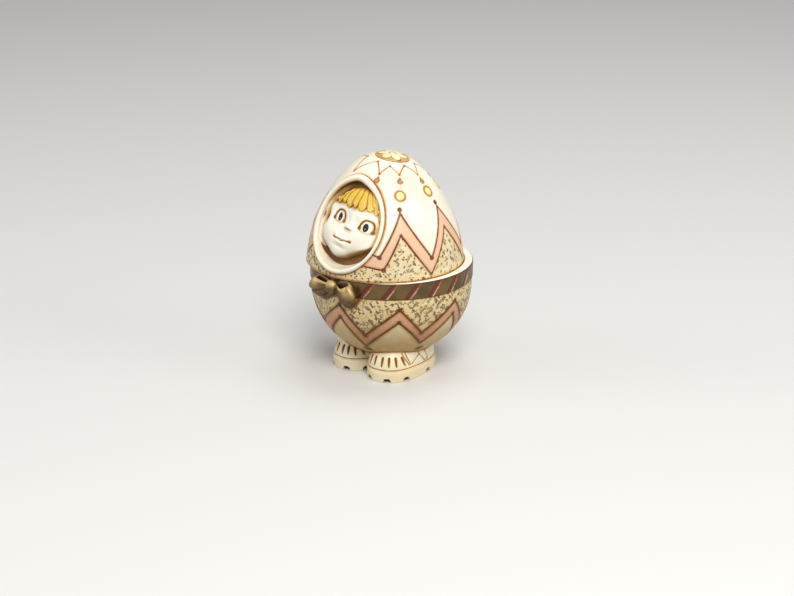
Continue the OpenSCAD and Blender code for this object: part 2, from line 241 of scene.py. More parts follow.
def nearest(points, spots):
    """Distance of each point from the nearest of some spots."""
    flat = points.reshape(-1, points.shape[-1])
    return least(*(np.linalg.norm(flat - spot, axis=1) for spot in spots))


def carved(points, depth, normals):
    """The points sunk by a depth, in one list."""
    return points.reshape(-1, 3) - depth[:, None] * normals.reshape(-1, 3)


class Shape:
    """Points, faces and named point values of one piece."""

    FAR = 50.0
    # The wash-and-shade value holds both the wash in hollows and painted shade
    SHARES = ("stain", "worn")

    def __init__(self):
        self.points, self.faces, self.values, self.count = [], [], [], 0

    def add(self, points, faces, **values):
        """Adds points and faces; the values named in SHARES are held between 0 and 1."""
        points = np.asarray(points, float).reshape(-1, 3)
        self.points.append(points)
        self.faces += [tuple(int(i) + self.count for i in face) for face in faces]
        for key, value in values.items():
            value = limit(value) if key in self.SHARES else value
            values[key] = np.broadcast_to(np.ravel(value), len(points))
        self.values.append((len(points), values))
        self.count += len(points)

    def fan(self, ring, tip, flip=False, **values):
        """A cap from a ring of points to one point."""
        n = len(ring)
        faces = [(i, (i + 1) % n, n) if not flip else ((i + 1) % n, i, n) for i in range(n)]
        self.add(np.vstack([ring, [tip]]), faces, **values)

    def field(self, name):
        return np.concatenate([v.get(name, np.full(n, self.FAR)) for n, v in self.values])

    def names(self):
        return sorted({k for _, v in self.values for k in v})


def on_seat(points):
    """Points of the lid where it rests: turned and slid on its seat."""
    c, s = cosine(LID_TURN), sine(LID_TURN)
    turn = np.array([[c, -s, 0], [s, c, 0], [0, 0, 1]])
    return points @ turn.T + [*SEAT, 0]


def link(name, data):
    """Puts a mesh, lamp or camera into the scene."""
    obj = bpy.data.objects.new(name, data)
    bpy.context.scene.collection.objects.link(obj)
    return obj


def piece(name, shape, body, node, material, sharp=40):
    """Makes a piece that stands for a CAD node and moves with a body."""
    points = np.vstack(shape.points)
    if body == "lid":
        points = on_seat(points)
    mesh = bpy.data.meshes.new(name)
    mesh.from_pydata((points * MM).tolist(), [], shape.faces)
    mesh.validate()
    for field in shape.names():
        data = mesh.attributes.new(field, "FLOAT", "POINT").data
        data.foreach_set("value", shape.field(field).astype(np.float32))
    mesh.shade_smooth()
    mesh.set_sharp_from_angle(angle=math.radians(sharp))
    mesh.materials.append(material)
    obj = link(name, mesh)
    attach(obj, body)
    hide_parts(node)


# Materials

def rgb(colour):
    """Linear colour from 0 to 255 values."""
    c = np.array(colour) / 255
    return (*np.where(c <= 0.04045, c / 12.92, ((c + 0.055) / 1.055) ** 2.4), 1.0)


class Paint:
    """Node material of painted resin, laid on in layers. Fields are distances in mm, negative inside."""

    SHAKE, CELL_SCALE, CELL_BEND, PIT_EDGE = 0.25, 820, 0.0024, 0.08

    def __init__(self, name):
        self.material = bpy.data.materials.new(name)
        self.material.use_nodes = True
        self.nodes, self.links = self.material.node_tree.nodes, self.material.node_tree.links
        self.nodes.clear()
        self.place = self.node("ShaderNodeTexCoord").outputs["Object"]
        self.wobble = self.sums(self.noise(450, 3), -0.5)
        self.pits = None

    def node(self, kind, inputs=None, **settings):
        node = self.nodes.new(kind)
        for key, value in settings.items():
            setattr(node, key, value)
        for key, value in (inputs or {}).items():
            if isinstance(value, bpy.types.NodeSocket):
                self.links.new(value, node.inputs[key])
            else:
                node.inputs[key].default_value = value
        return node

    def math(self, operation, a, b):
        return self.node("ShaderNodeMath", {0: a, 1: b}, operation=operation).outputs[0]

    def sums(self, a, b):
        return self.math("ADD", a, b)

    def times(self, a, b):
        return self.math("MULTIPLY", a, b)

    def noise(self, scale, detail=2.0, rough=0.55, output="Fac"):
        inputs = {"Vector": self.place, "Scale": scale, "Detail": detail, "Roughness": rough}
        return self.node("ShaderNodeTexNoise", inputs).outputs[output]

    def steps(self, value, low, high, at_low=0.0, at_high=1.0):
        return self.node("ShaderNodeMapRange", {"Value": value, 1: low, 2: high, 3: at_low, 4: at_high},
                         interpolation_type="SMOOTHSTEP").outputs[0]

    def mix(self, factor, a, b, blend="MIX"):
        node = self.node("ShaderNodeMix", {0: factor, 6: a, 7: b}, data_type="RGBA", blend_type=blend)
        return node.outputs[2]

    def field(self, name):
        return self.node("ShaderNodeAttribute", attribute_name=name).outputs["Fac"]

    def inside(self, name, soft):
        """1 inside a field's edge, drawn with a slightly unsteady hand."""
        edge = self.sums(self.field(name), self.times(self.wobble, self.SHAKE))
        return self.steps(edge, -soft, soft, 1.0, 0.0)

    def ground(self, colour, other, scale=90):
        self.colour = self.mix(self.steps(self.noise(scale, 4), 0.35, 0.7), rgb(colour), rgb(other))

    def layer(self, name, colour, soft=0.06, thin=0.82):
        """Paint inside a field's edge; thin is how well it covers where it has rubbed off."""
        cover = self.inside(name, soft)
        patchy = self.times(cover, self.steps(self.noise(700, 3), 0.2, 0.5, thin, 1.0))
        self.colour = self.mix(patchy, self.colour, rgb(colour))

    def speckle(self, name, cover):
        """Ground with short pits that hold a dark wash; cover is how far they reach."""
        bend = self.noise(900, 1.0, 0.5, "Color")
        bend = self.node("ShaderNodeVectorMath", {0: bend, 3: self.CELL_BEND}, operation="SCALE").outputs[0]
        bend = self.node("ShaderNodeVectorMath", {0: self.place, 1: bend}, operation="ADD").outputs[0]
        cells = self.node("ShaderNodeTexVoronoi", {"Vector": bend, "Scale": self.CELL_SCALE})
        grain = self.sums(cells.outputs["Distance"], self.times(self.noise(600, 2), 0.3))
        inside = self.inside(name, 0.12)
        pits = self.times(self.steps(grain, cover + self.PIT_EDGE, cover - self.PIT_EDGE), inside)
        tint = self.times(inside, self.steps(self.noise(520, 3), 0.3, 0.7, 0.55, 1.0))
        base = self.mix(tint, self.colour, rgb(SPECKLE_GROUND))
        depth = self.steps(self.noise(330, 2), 0.32, 0.62, 0.6, 0.95)
        self.colour = self.mix(self.times(pits, depth), base, rgb(SPECKLE_PIT))
        self.pits = pits

    def stain(self, name, colour=SHADE_AND_WASH, strength=0.92):
        """Wash in hollows and painted shade, where a 0 to 1 field is high: golden where it is thin, then
        brown.
        """
        amount = self.times(self.field(name), self.steps(self.noise(380, 4), 0.25, 0.75, 0.78, 1.0))
        thin, thick = (self.times(self.steps(amount, *reach), strength) for reach in ((0.0, 0.6), (0.3, 1.0)))
        self.colour = self.mix(thin, self.colour, rgb(GOLDEN), "MULTIPLY")
        self.colour = self.mix(thick, self.colour, rgb(colour))

    def done(self, rough=(0.34, 0.5), metallic=0.0, bump=0.1, gloss=0.5):
        """Shader with uneven gloss and a fine cast grain, in mm of height."""
        height = self.sums(self.times(self.noise(1500, 3), 0.05), self.times(self.noise(260, 2), 0.12))
        if self.pits is not None:
            height = self.sums(height, self.times(self.pits, -0.9))
        relief = {"Height": height, "Strength": 1.0, "Distance": bump * MM}
        normal = self.node("ShaderNodeBump", relief).outputs[0]
        roughness = self.steps(self.noise(220, 4), 0.3, 0.7, *rough)
        shader = self.node("ShaderNodeBsdfPrincipled", {
            "Base Color": self.colour, "Roughness": roughness, "Normal": normal,
            "Metallic": metallic, "Specular IOR Level": gloss})
        output = self.node("ShaderNodeOutputMaterial")
        self.links.new(shader.outputs[0], output.inputs["Surface"])
        return self.material


def resin(name, ground=CREAM, other=CREAM_WARM, layers=(), speckle=None, wash=SHADE_AND_WASH):
    """Material of a painted casting: two ground colours, painted layers, and the wash in its hollows together
    with painted shade.
    """
    paint = Paint(name)
    paint.ground(ground, other)
    if speckle:
        paint.speckle("speckle", speckle)
    for field, colour in layers:
        paint.layer(field, colour)
    paint.stain("stain", wash)
    return paint.done()


# Sections of bowl and lid

def bowl_section(inset=0.0, count=120):
    """Section of the bowl from its bottom to the end of the belly curve."""
    belly_r = EGG_R - BELLY_INSET
    up = (BELLY_INSET ** 2 - BOTTOM_DROP ** 2) / (2 * BOTTOM_DROP)
    belly_z = SEAM_Z - BELLY_DROP
    joint = math.degrees(math.atan2(-up, BELLY_INSET))
    bottom = arc((0, belly_z + up), belly_r + BOTTOM_DROP + up - inset, -90, joint, count)
    belly = arc((BELLY_INSET, belly_z), belly_r - inset, joint, 0, count)
    return np.vstack([bottom, belly[1:]])


def lid_section(inset=0.0, count=200):
    """Section of the lid from the seam to the crown."""
    crown_up = LID_TOP - SEAM_Z - CROWN_R
    k = (LID_R ** 2 + SIDE_DROP ** 2 + CROWN_R ** 2 - (crown_up + SIDE_DROP) ** 2) / (2 * CROWN_R)
    m = LID_R / CROWN_R
    a, b, c = m * m - 1, k * m - LID_R, k * k - LID_R ** 2 - SIDE_DROP ** 2
    side_c = (-b + math.sqrt(b * b - a * c)) / a
    side_r = k + m * side_c - inset
    joint = math.degrees(math.atan2(crown_up + SIDE_DROP, side_c))
    start = math.degrees(math.asin(SIDE_DROP / side_r))
    side = arc((-side_c, SEAM_Z - SIDE_DROP), side_r, start, joint, count)
    crown = arc((0, SEAM_Z + crown_up), CROWN_R - inset, joint, 90, count)
    return np.vstack([side, crown[1:]])


BOWL = np.vstack([bowl_section(), [[EGG_R, SEAM_Z]]])
LID = lid_section()


def on_turned(section, turn, z):
    """Points of a turned section at an azimuth and a height."""
    r = np.interp(z, section[:, 1], section[:, 0])
    return join(r * sine(turn), -r * cosine(turn), z)


def above_zigzag(section, corners, points):
    """Distance of points from a line round a turned section from corner to corner, positive above it."""
    turn, z = np.array(sorted(corners)).T
    fine = np.sort(np.concatenate([np.arange(-180, 180, 1.2), turn]))
    fine = np.append(fine, fine[0] + 360)
    path = on_turned(section, fine, np.interp(fine, turn, z, period=360))
    flat = points.reshape(-1, 3)
    height = np.interp(azimuth(flat), turn, z, period=360)
    return distance(flat, path) * np.sign(flat[:, 2] - height)


# Bowl with its lower zigzag band

LOWER_POINTS, FOOT_Z = 8, 8.5
LOWER_LINE, LOWER_DOT, LOWER_SPOT, LOWER_CARVE = 0.3, 0.68, 1.15, 0.22
GROUND_SINK = 0.12


def around(first, z):
    """Corners of the lower zigzag all round, as azimuths and heights; both lists are taken in turn."""
    return [((first[k % len(first)] + turn + 180) % 360 - 180, z[k % len(z)])
            for k, turn in enumerate(circle(LOWER_POINTS))]


LOWER_UP_PEAKS, LOWER_UP_VALLEYS = around([4.8], [26.0]), around([22.6], [16.3, 17.2])
LOWER_LOW_PEAKS, LOWER_LOW_VALLEYS = around([4.2], [21.7]), around([19.5, 25.0], [11.4, 12.8])
LOWER_SPOTS = around([19.2, 28.5], [10.2])


def on_spots(section, spots):
    """Points of a turned section at some azimuths and heights."""
    return on_turned(section, *np.array(spots).T)


def base_bowl():
    """The bowl: carved outside, groove for the ribbon, ledge and plain inside."""
    shape = Shape()
    outer = np.vstack([BOWL[BOWL[:, 1] <= belt_low[2]], [[EGG_R, belt_low[2]]]])
    foot = resample(outer[outer[:, 1] < FOOT_Z], FOOT_ROWS)
    band = resample(outer[outer[:, 1] >= FOOT_Z], BAND_ROWS)
    points, normals = turned(np.vstack([foot[1:], band]), ROUND)
    up = above_zigzag(BOWL, LOWER_UP_PEAKS + LOWER_UP_VALLEYS, points)
    low = above_zigzag(BOWL, LOWER_LOW_PEAKS + LOWER_LOW_VALLEYS, points)
    dots = on_spots(BOWL, LOWER_UP_PEAKS + LOWER_LOW_PEAKS + LOWER_UP_VALLEYS)
    line = least(abs(up) - LOWER_LINE, abs(low) - LOWER_LINE, nearest(points, dots) - LOWER_DOT,
                 nearest(points, on_spots(BOWL, LOWER_SPOTS)) - LOWER_SPOT)
    depth = LOWER_CARVE * smooth(line, *CUT_EDGE) + GROUND_SINK * smooth(up, -0.1, 0.3)
    flat = carved(points, depth, normals)
    z = flat[:, 2]
    # Painted shade: darker towards the bottom and along the ribbon's lower edge; a painted shadow under the
    # bow; wash in the carved lines
    stain = 0.55 * smooth(z, 10.5, 4.5) + 0.42 * smooth(z, 30, 9) + 0.4 * smooth(line, 0.9, 0.0)
    stain += 0.95 * smooth(abs(z - belt_low[2]), 0.55, 0.1) + 0.95 * smooth(bow_off(flat), 1.4, 0.1)
    shape.add(flat, grid(*points.shape[:2]), line=line, pink=np.maximum(up, -low), speckle=0.2 - up,
              cast=bow_off(flat) - 0.35, stain=stain)
    shape.fan(points[0], [0, 0, BOWL[0, 1]], flip=True, stain=1.0)

    groove, mouth, lip = EGG_R - BELT_DEPTH, EGG_R - WALL, 0.3
    wall = bowl_section(WALL)[::-1]
    inside = np.vstack([
        [[EGG_R, belt_low[2]], [groove, belt_low[2]], [groove, belt_high[2]], [EGG_R, belt_high[2]]],
        arc((EGG_R - lip, SEAM_Z - lip), lip, 0, 90, 6),
        join(np.linspace(EGG_R - 0.5, mouth + 0.4, 24), SEAM_Z),
        [[mouth, SEAM_Z - 0.4]], resample(wall[wall[:, 0] < mouth], 40)[:-1]])
    points, _ = turned(inside, BOWL_INSIDE)
    x, y, z = points.reshape(-1, 3).T
    # Painted shade deeper inside the bowl, and a painted shadow ring on the ledge under the lid's edge, with
    # wash in the seam
    deep = smooth(z, SEAM_Z - 3, 12) * (np.hypot(x, y) < mouth + 0.1)
    seam = np.hypot(x - SEAT[0], y - SEAT[1]) - LID_R
    seam = 0.8 * smooth(abs(seam), 0.45, 0.05) * (z > SEAM_Z - 0.35)
    shape.add(points, grid(*points.shape[:2]), mouth=-1.0, stain=0.08 + 0.35 * deep + seam)
    shape.fan(points[-1], [0, 0, wall[-1, 1]], mouth=-1.0, stain=0.45)
    # The lower band's pink and the bowl's creams carry painted shade, and cast is the bow's painted shadow
    layers = [("pink", PINK_SHADED), ("mouth", CREAM), ("line", BROWN), ("cast", BOW_SHADOW)]
    material = resin("bowl_resin", BOWL_CREAM, BOWL_WARM, layers, speckle=0.6)
    piece("bowl", shape, "base", "base_bowl", material)


# Ribbon and bow

STRIPE_PITCH, STRIPE_FROM, STRIPE_HALF, STRIPE_LEAN = 360 / 22, 25.5, 0.62, 0.77
BOW_TURN, KNOT_Z = 2.0, SEAM_Z - 2.5
KNOT = (2.1, 2.0, 1.7)
LOOP_D, LOOP_T, LOOP_FOLD = 3.8, 0.8, 0.5
GLUE = 0.05
BOW_EDGE = np.array([
    (-9.4, -1.0), (-9.0, -3.6), (-7.0, -5.4), (-4.5, -5.2), (-2.5, -3.0), (-1.0, -3.2), (0.8, -3.1),
    (2.0, -4.6), (3.6, -5.9), (5.4, -6.2), (7.0, -5.2), (8.2, -3.4), (8.5, -1.2), (8.2, 0.6)])


def bow_off(points):
    """Distance from the bow's lower edge, along the surface."""
    along = np.radians((azimuth(points) - BOW_TURN + 180) % 360 - 180) * BELT_R
    return distance(join(along, points[..., 2] - KNOT_Z), BOW_EDGE)


def ribbon_paint(name, stripes=False):
    """Bronze of the ribbon, with stripes, or of the bow, with rubbed edges that also carry painted
    highlights.
    """
    paint = Paint(name)
    paint.ground(BRONZE, BRONZE_DARK, scale=160)
    if stripes:
        paint.layer("blush", BLUSH)
        paint.layer("stripe", STRIPE)
        paint.layer("hairline", HAIRLINE, soft=0.05)
    else:
        # Rubbed gold on raised edges, which also serves as painted highlight
        worn = paint.times(paint.field("worn"), paint.steps(paint.noise(500, 3), 0.3, 0.6, 0.5, 1.0))
        paint.colour = paint.mix(worn, paint.colour, rgb(BRONZE_WEAR_AND_HIGHLIGHT))
    # The bronze's dark wash, which also paints shade
    paint.stain("stain", BRONZE_SHADE_AND_WASH)
    return paint.done(rough=(0.32, 0.46), metallic=0.3, bump=0.12)


def ribbon_band():
    """The ribbon round the bowl, with leaning stripes."""
    shape = Shape()
    low, high, soft, fit = belt_low[2] - 0.1, SEAM_Z - 0.12, 0.3, 0.03
    inner, lip = EGG_R - BELT_DEPTH + 0.02, EGG_R - 0.05
    bottom, top, middle = belt_low[2] + fit, belt_high[2] - fit, (low + high) / 2
    section = np.vstack([
        [[lip, top], [inner, top], [inner, bottom], [lip, bottom]],
        arc((BELT_R - soft, low + soft), soft, -80, 0, 6),
        join(BELT_R, np.linspace(low + soft + 0.2, high - soft - 0.2, 16)),
        arc((BELT_R - soft, high - soft), soft, 0, 80, 6)])
    points, normals = turned(section, ROUND)
    z = points[..., 2].ravel()
    slide = azimuth(points).ravel() - np.degrees(STRIPE_LEAN * (z - middle) / BELT_R) - STRIPE_FROM
    off = (slide + STRIPE_PITCH / 2) % STRIPE_PITCH - STRIPE_PITCH / 2
    off = np.radians(off) * BELT_R / math.hypot(1, STRIPE_LEAN)
    stripe = abs(off) - STRIPE_HALF
    # A reddish blush and a cream hairline along one edge of each stripe: painted lines that also serve as a
    # painted highlight on that edge
    blush = abs(off - STRIPE_HALF - 0.1) - 0.28
    hairline = abs(off - STRIPE_HALF - 0.42) - 0.11 * smooth(z, high - 0.6, middle)
    ridge = 0.12 * smooth(abs(stripe), 0.3, 0.0) * (z > low + soft) * (z < high - soft)
    flat = carved(points, ridge, normals)
    edge = np.minimum(flat[:, 2] - low, high - flat[:, 2])
    # Wash and painted shade along the ribbon's edges, and a painted shadow under the bow
    shape.add(flat, grid(*points.shape[:2], close=True), stripe=stripe, blush=blush, hairline=hairline,
              stain=0.8 * smooth(edge, 0.5, 0.0) + 0.7 * smooth(bow_off(flat), 1.4, 0.1))
    piece("ribbon", shape, "base", "ribbon_band", ribbon_paint("ribbon_bronze", stripes=True))


def on_bow(along, up, out):
    """Points on the bow: along the ribbon, up from the knot and out from the ribbon's face."""
    turn = np.radians(BOW_TURN) + along / BELT_R
    r = BELT_R + out
    return join(r * np.sin(turn), -r * np.cos(turn), KNOT_Z + up)


def bow_loop(hand, side):
    """A full ribbon loop, cast as a pouch: open at the top, closed below and flat against the ribbon."""
    steps, rows, edge, inner_rows = 96, 40, 7, 16
    t = 2 * np.pi * np.arange(steps) / steps
    far = (1 - np.cos(t)) / 2
    front = 0.5 + 0.5 * np.sign(np.sin(t)) * abs(np.sin(t)) ** (0.62 if side > 0 else 0.5)
    drop = np.sin(np.pi / 2 * np.minimum(far / 0.85, 1))
    if side > 0:
        back_top = 0.9 + 1.4 * np.sin(np.pi / 2 * far ** 0.8)
        front_top = 0.8 + far ** 3 - 0.95 * np.sin(np.pi * far ** 0.9)
        bottom = -1.2 - 4.1 * drop ** 1.25 + 0.4 * far ** 6
        reach, widest, under, over = 7.2, 0.45, 7.5, 6.0
        fold_at, fold_deep, lower = 0.5 - 0.25 * far, 0.35 * (1 - far), 1.0
    else:
        back_top, front_top = 0.7 + 1.5 * far ** 0.8, 0.15 + 1.4 * far ** 1.1
        bottom = -1.4 - 3.8 * drop ** 1.1 + 0.3 * far ** 6
        reach, widest, under, over = 7.4, 0.55, 6.0, 7.0
        fold_at, fold_deep, lower = 0.38, 0.9 * smooth(far, 0.02, 0.4), 0.88
    top = back_top + (front_top - back_top) * front - 0.8 * far ** 8
    start = KNOT[0] - (1.2 if side > 0 else 0.65)

    def surface(v, wall):
        """Ring of points at a height from 0 to 1, a wall's thickness inside the skin."""
        swell = math.sqrt(1 - (1 - min(v / 0.45, 1)) ** 2) * (1 - 0.2 * max(v / 0.5 - 1, 0) ** 2)
        swell *= lower + (1 - lower) * smooth(v, 0.34, 0.5)
        deep = 0.04 + (LOOP_D + 0.25) * (0.42 + 0.58 * far ** 0.8) * swell
        deep = deep - LOOP_FOLD * fold_deep * np.exp(-((v - fold_at) / 0.08) ** 2) * front
        out = GLUE + 0.04 + wall + np.maximum(deep - 2 * wall, 0.02) * front
        length = reach - (under if v < widest else over) * (v - widest) ** 2
        along = start + wall + (length - 2 * wall) * far
        return join(along, bottom + v * (top - bottom), out)

    rise, fall = np.linspace(0, 1, rows), np.linspace(1, 0.3, inner_rows)
    skin = [surface(v, 0.0) for v in rise]
    lining = [surface(v, LOOP_T / 2 + 0.1 + 0.35 * far) for v in fall]
    turn_over = []
    for k in np.linspace(0, 1, edge + 2)[1:-1]:
        ring = skin[-1] + k * (lining[0] - skin[-1])
        ring[:, 1] += 0.22 * math.sin(math.pi * k)
        turn_over.append(ring)
    rings = np.stack(skin + turn_over + lining)
    count = len(rings)
    height = np.concatenate([rise, np.ones(edge), fall])[:, None]
    within = np.concatenate([np.zeros(rows), np.linspace(0, 1, edge), np.ones(inner_rows)])[:, None]
    dent = np.exp(-((height - fold_at) / 0.07) ** 2) * fold_deep * front * (1 - within)
    # Painted shade inside the loop, near the knot, in the fold and on the lobe's underside
    stain = 0.9 * within * smooth(height, 1.02, 0.8) + 0.45 * smooth(far, 0.16, 0.0) + 0.6 * dent
    stain = stain + 0.55 * smooth(height, 0.2, 0.0) * (1 - within)
    # Rubbed gold along the rim, and a painted highlight on the bulge that faces the light
    worn = 0.9 * smooth(height, 0.85, 1.0) * smooth(within, 0.9, 0.3)
    bulge = smooth(far, 0.3, 0.75) * smooth(front, 0.4, 0.7) * smooth(height, 0.35, 0.85)
    worn = worn + 0.7 * bulge * (1 - within)
    half = np.arange(steps // 2)
    seam = join(half, half + 1, (steps - half - 1) % steps, (steps - half) % steps)
    faces = np.vstack([grid(count, steps), seam[:, ::-1], seam + (count - 1) * steps])
    along, up, out = np.moveaxis(rings, -1, 0)
    shape = Shape()
    shape.add(on_bow(side * along, up, out), faces[:, ::side], stain=stain, worn=worn)
    piece(hand + "_loop", shape, "base", "bow_" + hand + "_loop", BOW_PAINT, sharp=60)


def bow_knot():
    """The bow's creased knot."""
    rows, columns = 40, 72
    polar = np.radians(np.linspace(2, 178, rows))[:, None]
    t = np.radians(circle(columns))[None, :]
    wide = np.sin(polar) ** 0.85
    crease = 0.10 * np.cos(5 * t + 0.6) * wide * smooth(np.sin(t), -0.2, 0.5)
    along = KNOT[0] * (wide + crease) * np.cos(t) * (1 - 0.12 * np.sin(polar) ** 3)
    out = GLUE + KNOT[2] * (1 + (wide + crease) * np.sin(t))
    up = -KNOT[1] * np.cos(polar)
    points = on_bow(-along, up, out)
    shape = Shape()
    # Painted shade where the knot meets the ribbon and in its creases; rubbed gold and a painted highlight on
    # its top
    stain = 0.7 * smooth(out, 1.4, 0.2) + 0.25 * smooth(crease, -0.02, -0.1)
    worn = smooth(up, -0.4, 1.3) * smooth(out, 1.4, 2.6)
    shape.add(points, grid(rows, columns), stain=stain, worn=worn)
    shape.fan(points[0], points[0].mean(0), flip=True, stain=0.6, worn=0.0)
    shape.fan(points[-1], points[-1].mean(0), stain=0.1, worn=0.5)
    piece("knot", shape, "base", "bow_knot", BOW_PAINT, sharp=60)


def bow_tail():
    """The loose end under the bow."""
    rows, columns = 24, 20
    t = np.linspace(0, 1, rows)[:, None]
    along, up = -0.8 - 4.34 * t, 0.4 - KNOT[1] - 3.5 * t
    ring = circle(columns)[None, :]
    across = (1.0 + 0.15 * t) * cosine(ring)
    points = on_bow(along + across, up - 0.5 * across, GLUE + 0.3 + 0.28 * sine(ring))
    shape = Shape()
    shape.add(points, grid(rows, columns), stain=0.25, worn=0.0)
    shape.fan(points[0], points[0].mean(0), flip=True, stain=0.4, worn=0.0)
    shape.fan(points[-1], points[-1].mean(0), stain=0.25, worn=0.0)
    piece("tail", shape, "base", "bow_tail", BOW_PAINT, sharp=60)


# Boots

BOOT_L, BOOT_W, BOOT_X, BOOT_Y, BOOT_SPLAY = 13.0, 8.1, 6.6, 2.4, 8.0
SOLE_T, BOOT_H, WELT, BOOT_GAP, SOLE_POWER = 3.5, 10.0, 0.35, 0.4, 2.4
NOTCHES, NOTCH_W, NOTCH_H, NOTCH_D = 9, 2.3, 1.35, 1.5
TOE_SLOTS, SLOT_LOW, SLOT_H, SLOT_D = (-50, -36, -21, -7, 7, 22, 37, 51), 4.7, 3.2, 0.5
STRAP_LINES = ([(51, 31), (67, 7), (69.5, 8), (58.5, 30)], [(89, 21), (72, 8)],
               [(86.5, 24), (94, 4.5), (101.5, 6.5), (98, 22)])
STRAP_HALF, STRAP_D = 0.13, 0.16


def sole_outline(turn, inset=0.0):
    """Points of a sole's outline; turn 0 is the toe and 90 the figure's left side."""
    c, s = (np.sign(v) * abs(v) ** (2 / SOLE_POWER) for v in (cosine(turn - 90), sine(turn - 90)))
    return join((BOOT_W - inset) * c, (BOOT_L - inset) * s)


def on_foot(points, side):
    """Points of a boot put in place, cut off where the two boots meet."""
    c, s = cosine(side * BOOT_SPLAY), sine(side * BOOT_SPLAY)
    x, y, z = np.moveaxis(points, -1, 0)
    across = side * BOOT_X + x * c - y * s
    return join(side * np.maximum(side * across, BOOT_GAP / 2), x * s + y * c - BOOT_Y, z)


def on_dome(turn, rise):
    """Points of a boot's dome: round its outline and up by an angle."""
    x, y = np.moveaxis(sole_outline(np.asarray(turn, float), WELT), -1, 0)
    return join(x * cosine(rise), y * cosine(rise), SOLE_T + BOOT_H * sine(rise))


def dome_path(ends, count=12):
    """A line on a boot's dome through (turn, rise) corners."""
    path = resample(np.array(ends, float), count * (len(ends) - 1) + 1)
    return on_dome(path[:, 0], path[:, 1])


def boot(hand, side):
    """A boot's dome with its toe slots and strap lines, cut off under the bowl."""
    rows, columns = 90, 400
    points = on_dome(circle(columns)[None, :], np.linspace(0, 62, rows)[:, None])
    flat = points.reshape(-1, 3)
    up = limit((flat[:, 2] - SLOT_LOW) / SLOT_H)
    width = 0.66 * up ** 0.7 * (1 - up) ** 0.3 + 0.02
    paths = [dome_path([(side * t * (1 + 0.14 * abs(t) / 50), 8), (side * t, 24)]) for t in TOE_SLOTS]
    slots = least(*(distance(flat, path) for path in paths)) - width
    paths = [dome_path([(side * t, rise) for t, rise in ends]) for ends in STRAP_LINES]
    lines = least(abs(flat[:, 2] - SOLE_T - 0.3), *(distance(flat, path) for path in paths)) - STRAP_HALF
    depth = SLOT_D * smooth(slots, 0.12, -0.3) + STRAP_D * smooth(lines, 0.12, -0.08)
    placed = on_foot(carved(points, depth, grid_normals(points)), side)
    under = np.interp(np.hypot(placed[:, 0], placed[:, 1]), BOWL[:, 0], BOWL[:, 1])
    placed[:, 2] = np.minimum(placed[:, 2], under + 0.15)
    # Painted shadow where the boot runs under the bowl, and wash in the slots and strap lines
    stain = 0.9 * smooth(under - placed[:, 2], 0.9, -0.1) + 0.4 * smooth(slots, 0.5, 0.0)
    shape = Shape()
    shape.add(placed, grid(rows, columns), line=lines, slot=slots, stain=stain + 0.35 * smooth(lines, 0.4, 0))
    ring = placed[-columns:]
    shape.fan(ring, ring.mean(0), stain=1.0)
    piece(hand + "_upper", shape, "base", hand + "_boot", BOOT_PAINT, sharp=50)


def sole(hand, side):
    """A thick sole with notches round its lower edge."""
    columns = 720
    turn = circle(columns)
    outline = sole_outline(turn)
    d = unit(np.roll(outline, -1, axis=0) - np.roll(outline, 1, axis=0))
    along = np.concatenate([[0], np.cumsum(np.linalg.norm(np.diff(outline, axis=0), axis=1))])
    spots = np.interp((np.arange(NOTCHES) + 0.5) * 360 / NOTCHES, turn, along)
    off = least(*(abs(along - spot) for spot in spots))
    z = np.array([0.0, 0.12, 0.4, 0.7, 0.95, 1.12, 1.25, NOTCH_H - 0.01, NOTCH_H + 0.03, 2.2,
                  SOLE_T - 0.25, SOLE_T - 0.06, SOLE_T])[:, None]
    edge = np.zeros_like(z)
    edge[0], edge[-2], edge[-1] = 0.12, 0.1, 0.3
    wide = NOTCH_W / 2 * np.sqrt(limit(1 - (z / NOTCH_H) ** 2.6))
    notch = NOTCH_D * smooth(off, wide + 0.1, wide - 0.1) * (z <= NOTCH_H)
    x, y = (outline - (notch + edge)[..., None] * join(d[:, 1], -d[:, 0])).transpose(2, 0, 1)
    placed = on_foot(join(x, y, z), side)
    shape = Shape()
    # Painted shade in the notches and along the bottom, and darker along the top edge where the boot sits
    stain = smooth(notch, 0.15, 0.8) + 0.15 * smooth(z, 0.6, 0.0) + 0.3 * smooth(z, SOLE_T - 0.3, SOLE_T)
    shape.add(placed, grid(len(z), columns), stain=stain)
    middle = placed[0].mean(0)[:2]
    shape.fan(placed[0], [*middle, 0], flip=True, stain=0.5)
    shape.fan(placed[-1], [*middle, SOLE_T], stain=0.6)
    piece(hand + "_bottom", shape, "base", hand + "_sole", SOLE_PAINT, sharp=35)


# Hood

def egg_outline(turn, inset=0.0):
    """Points of the hood's outline, by the direction in which its edge faces, seen from the front."""
    wide, narrow = HOOD_R - inset, HOOD_TOP_R - inset
    arc_r = (wide ** 2 + HOOD_RISE ** 2 - narrow ** 2) / (2 * (wide - narrow))
    joint = math.degrees(math.atan2(HOOD_RISE, arc_r - wide))
    turn = np.asarray(turn, float) % 360
    c, s = cosine(turn), sine(turn)
    low, top = turn > 180, (turn > joint) & (turn < 180 - joint)
    x = np.where(low, wide * c, np.where(top, narrow * c, np.sign(c) * (wide - arc_r) + arc_r * c))
    y = np.where(low, wide * s, np.where(top, HOOD_RISE + narrow * s, arc_r * s))
    return join(x, y)


def outline_gap(flat, inset=0.0):
    """Distance of points (sideways, up from the hood's centre) from the outline, positive outside."""
    return outside(flat, egg_outline(np.arange(0, 361, 2.0), inset))


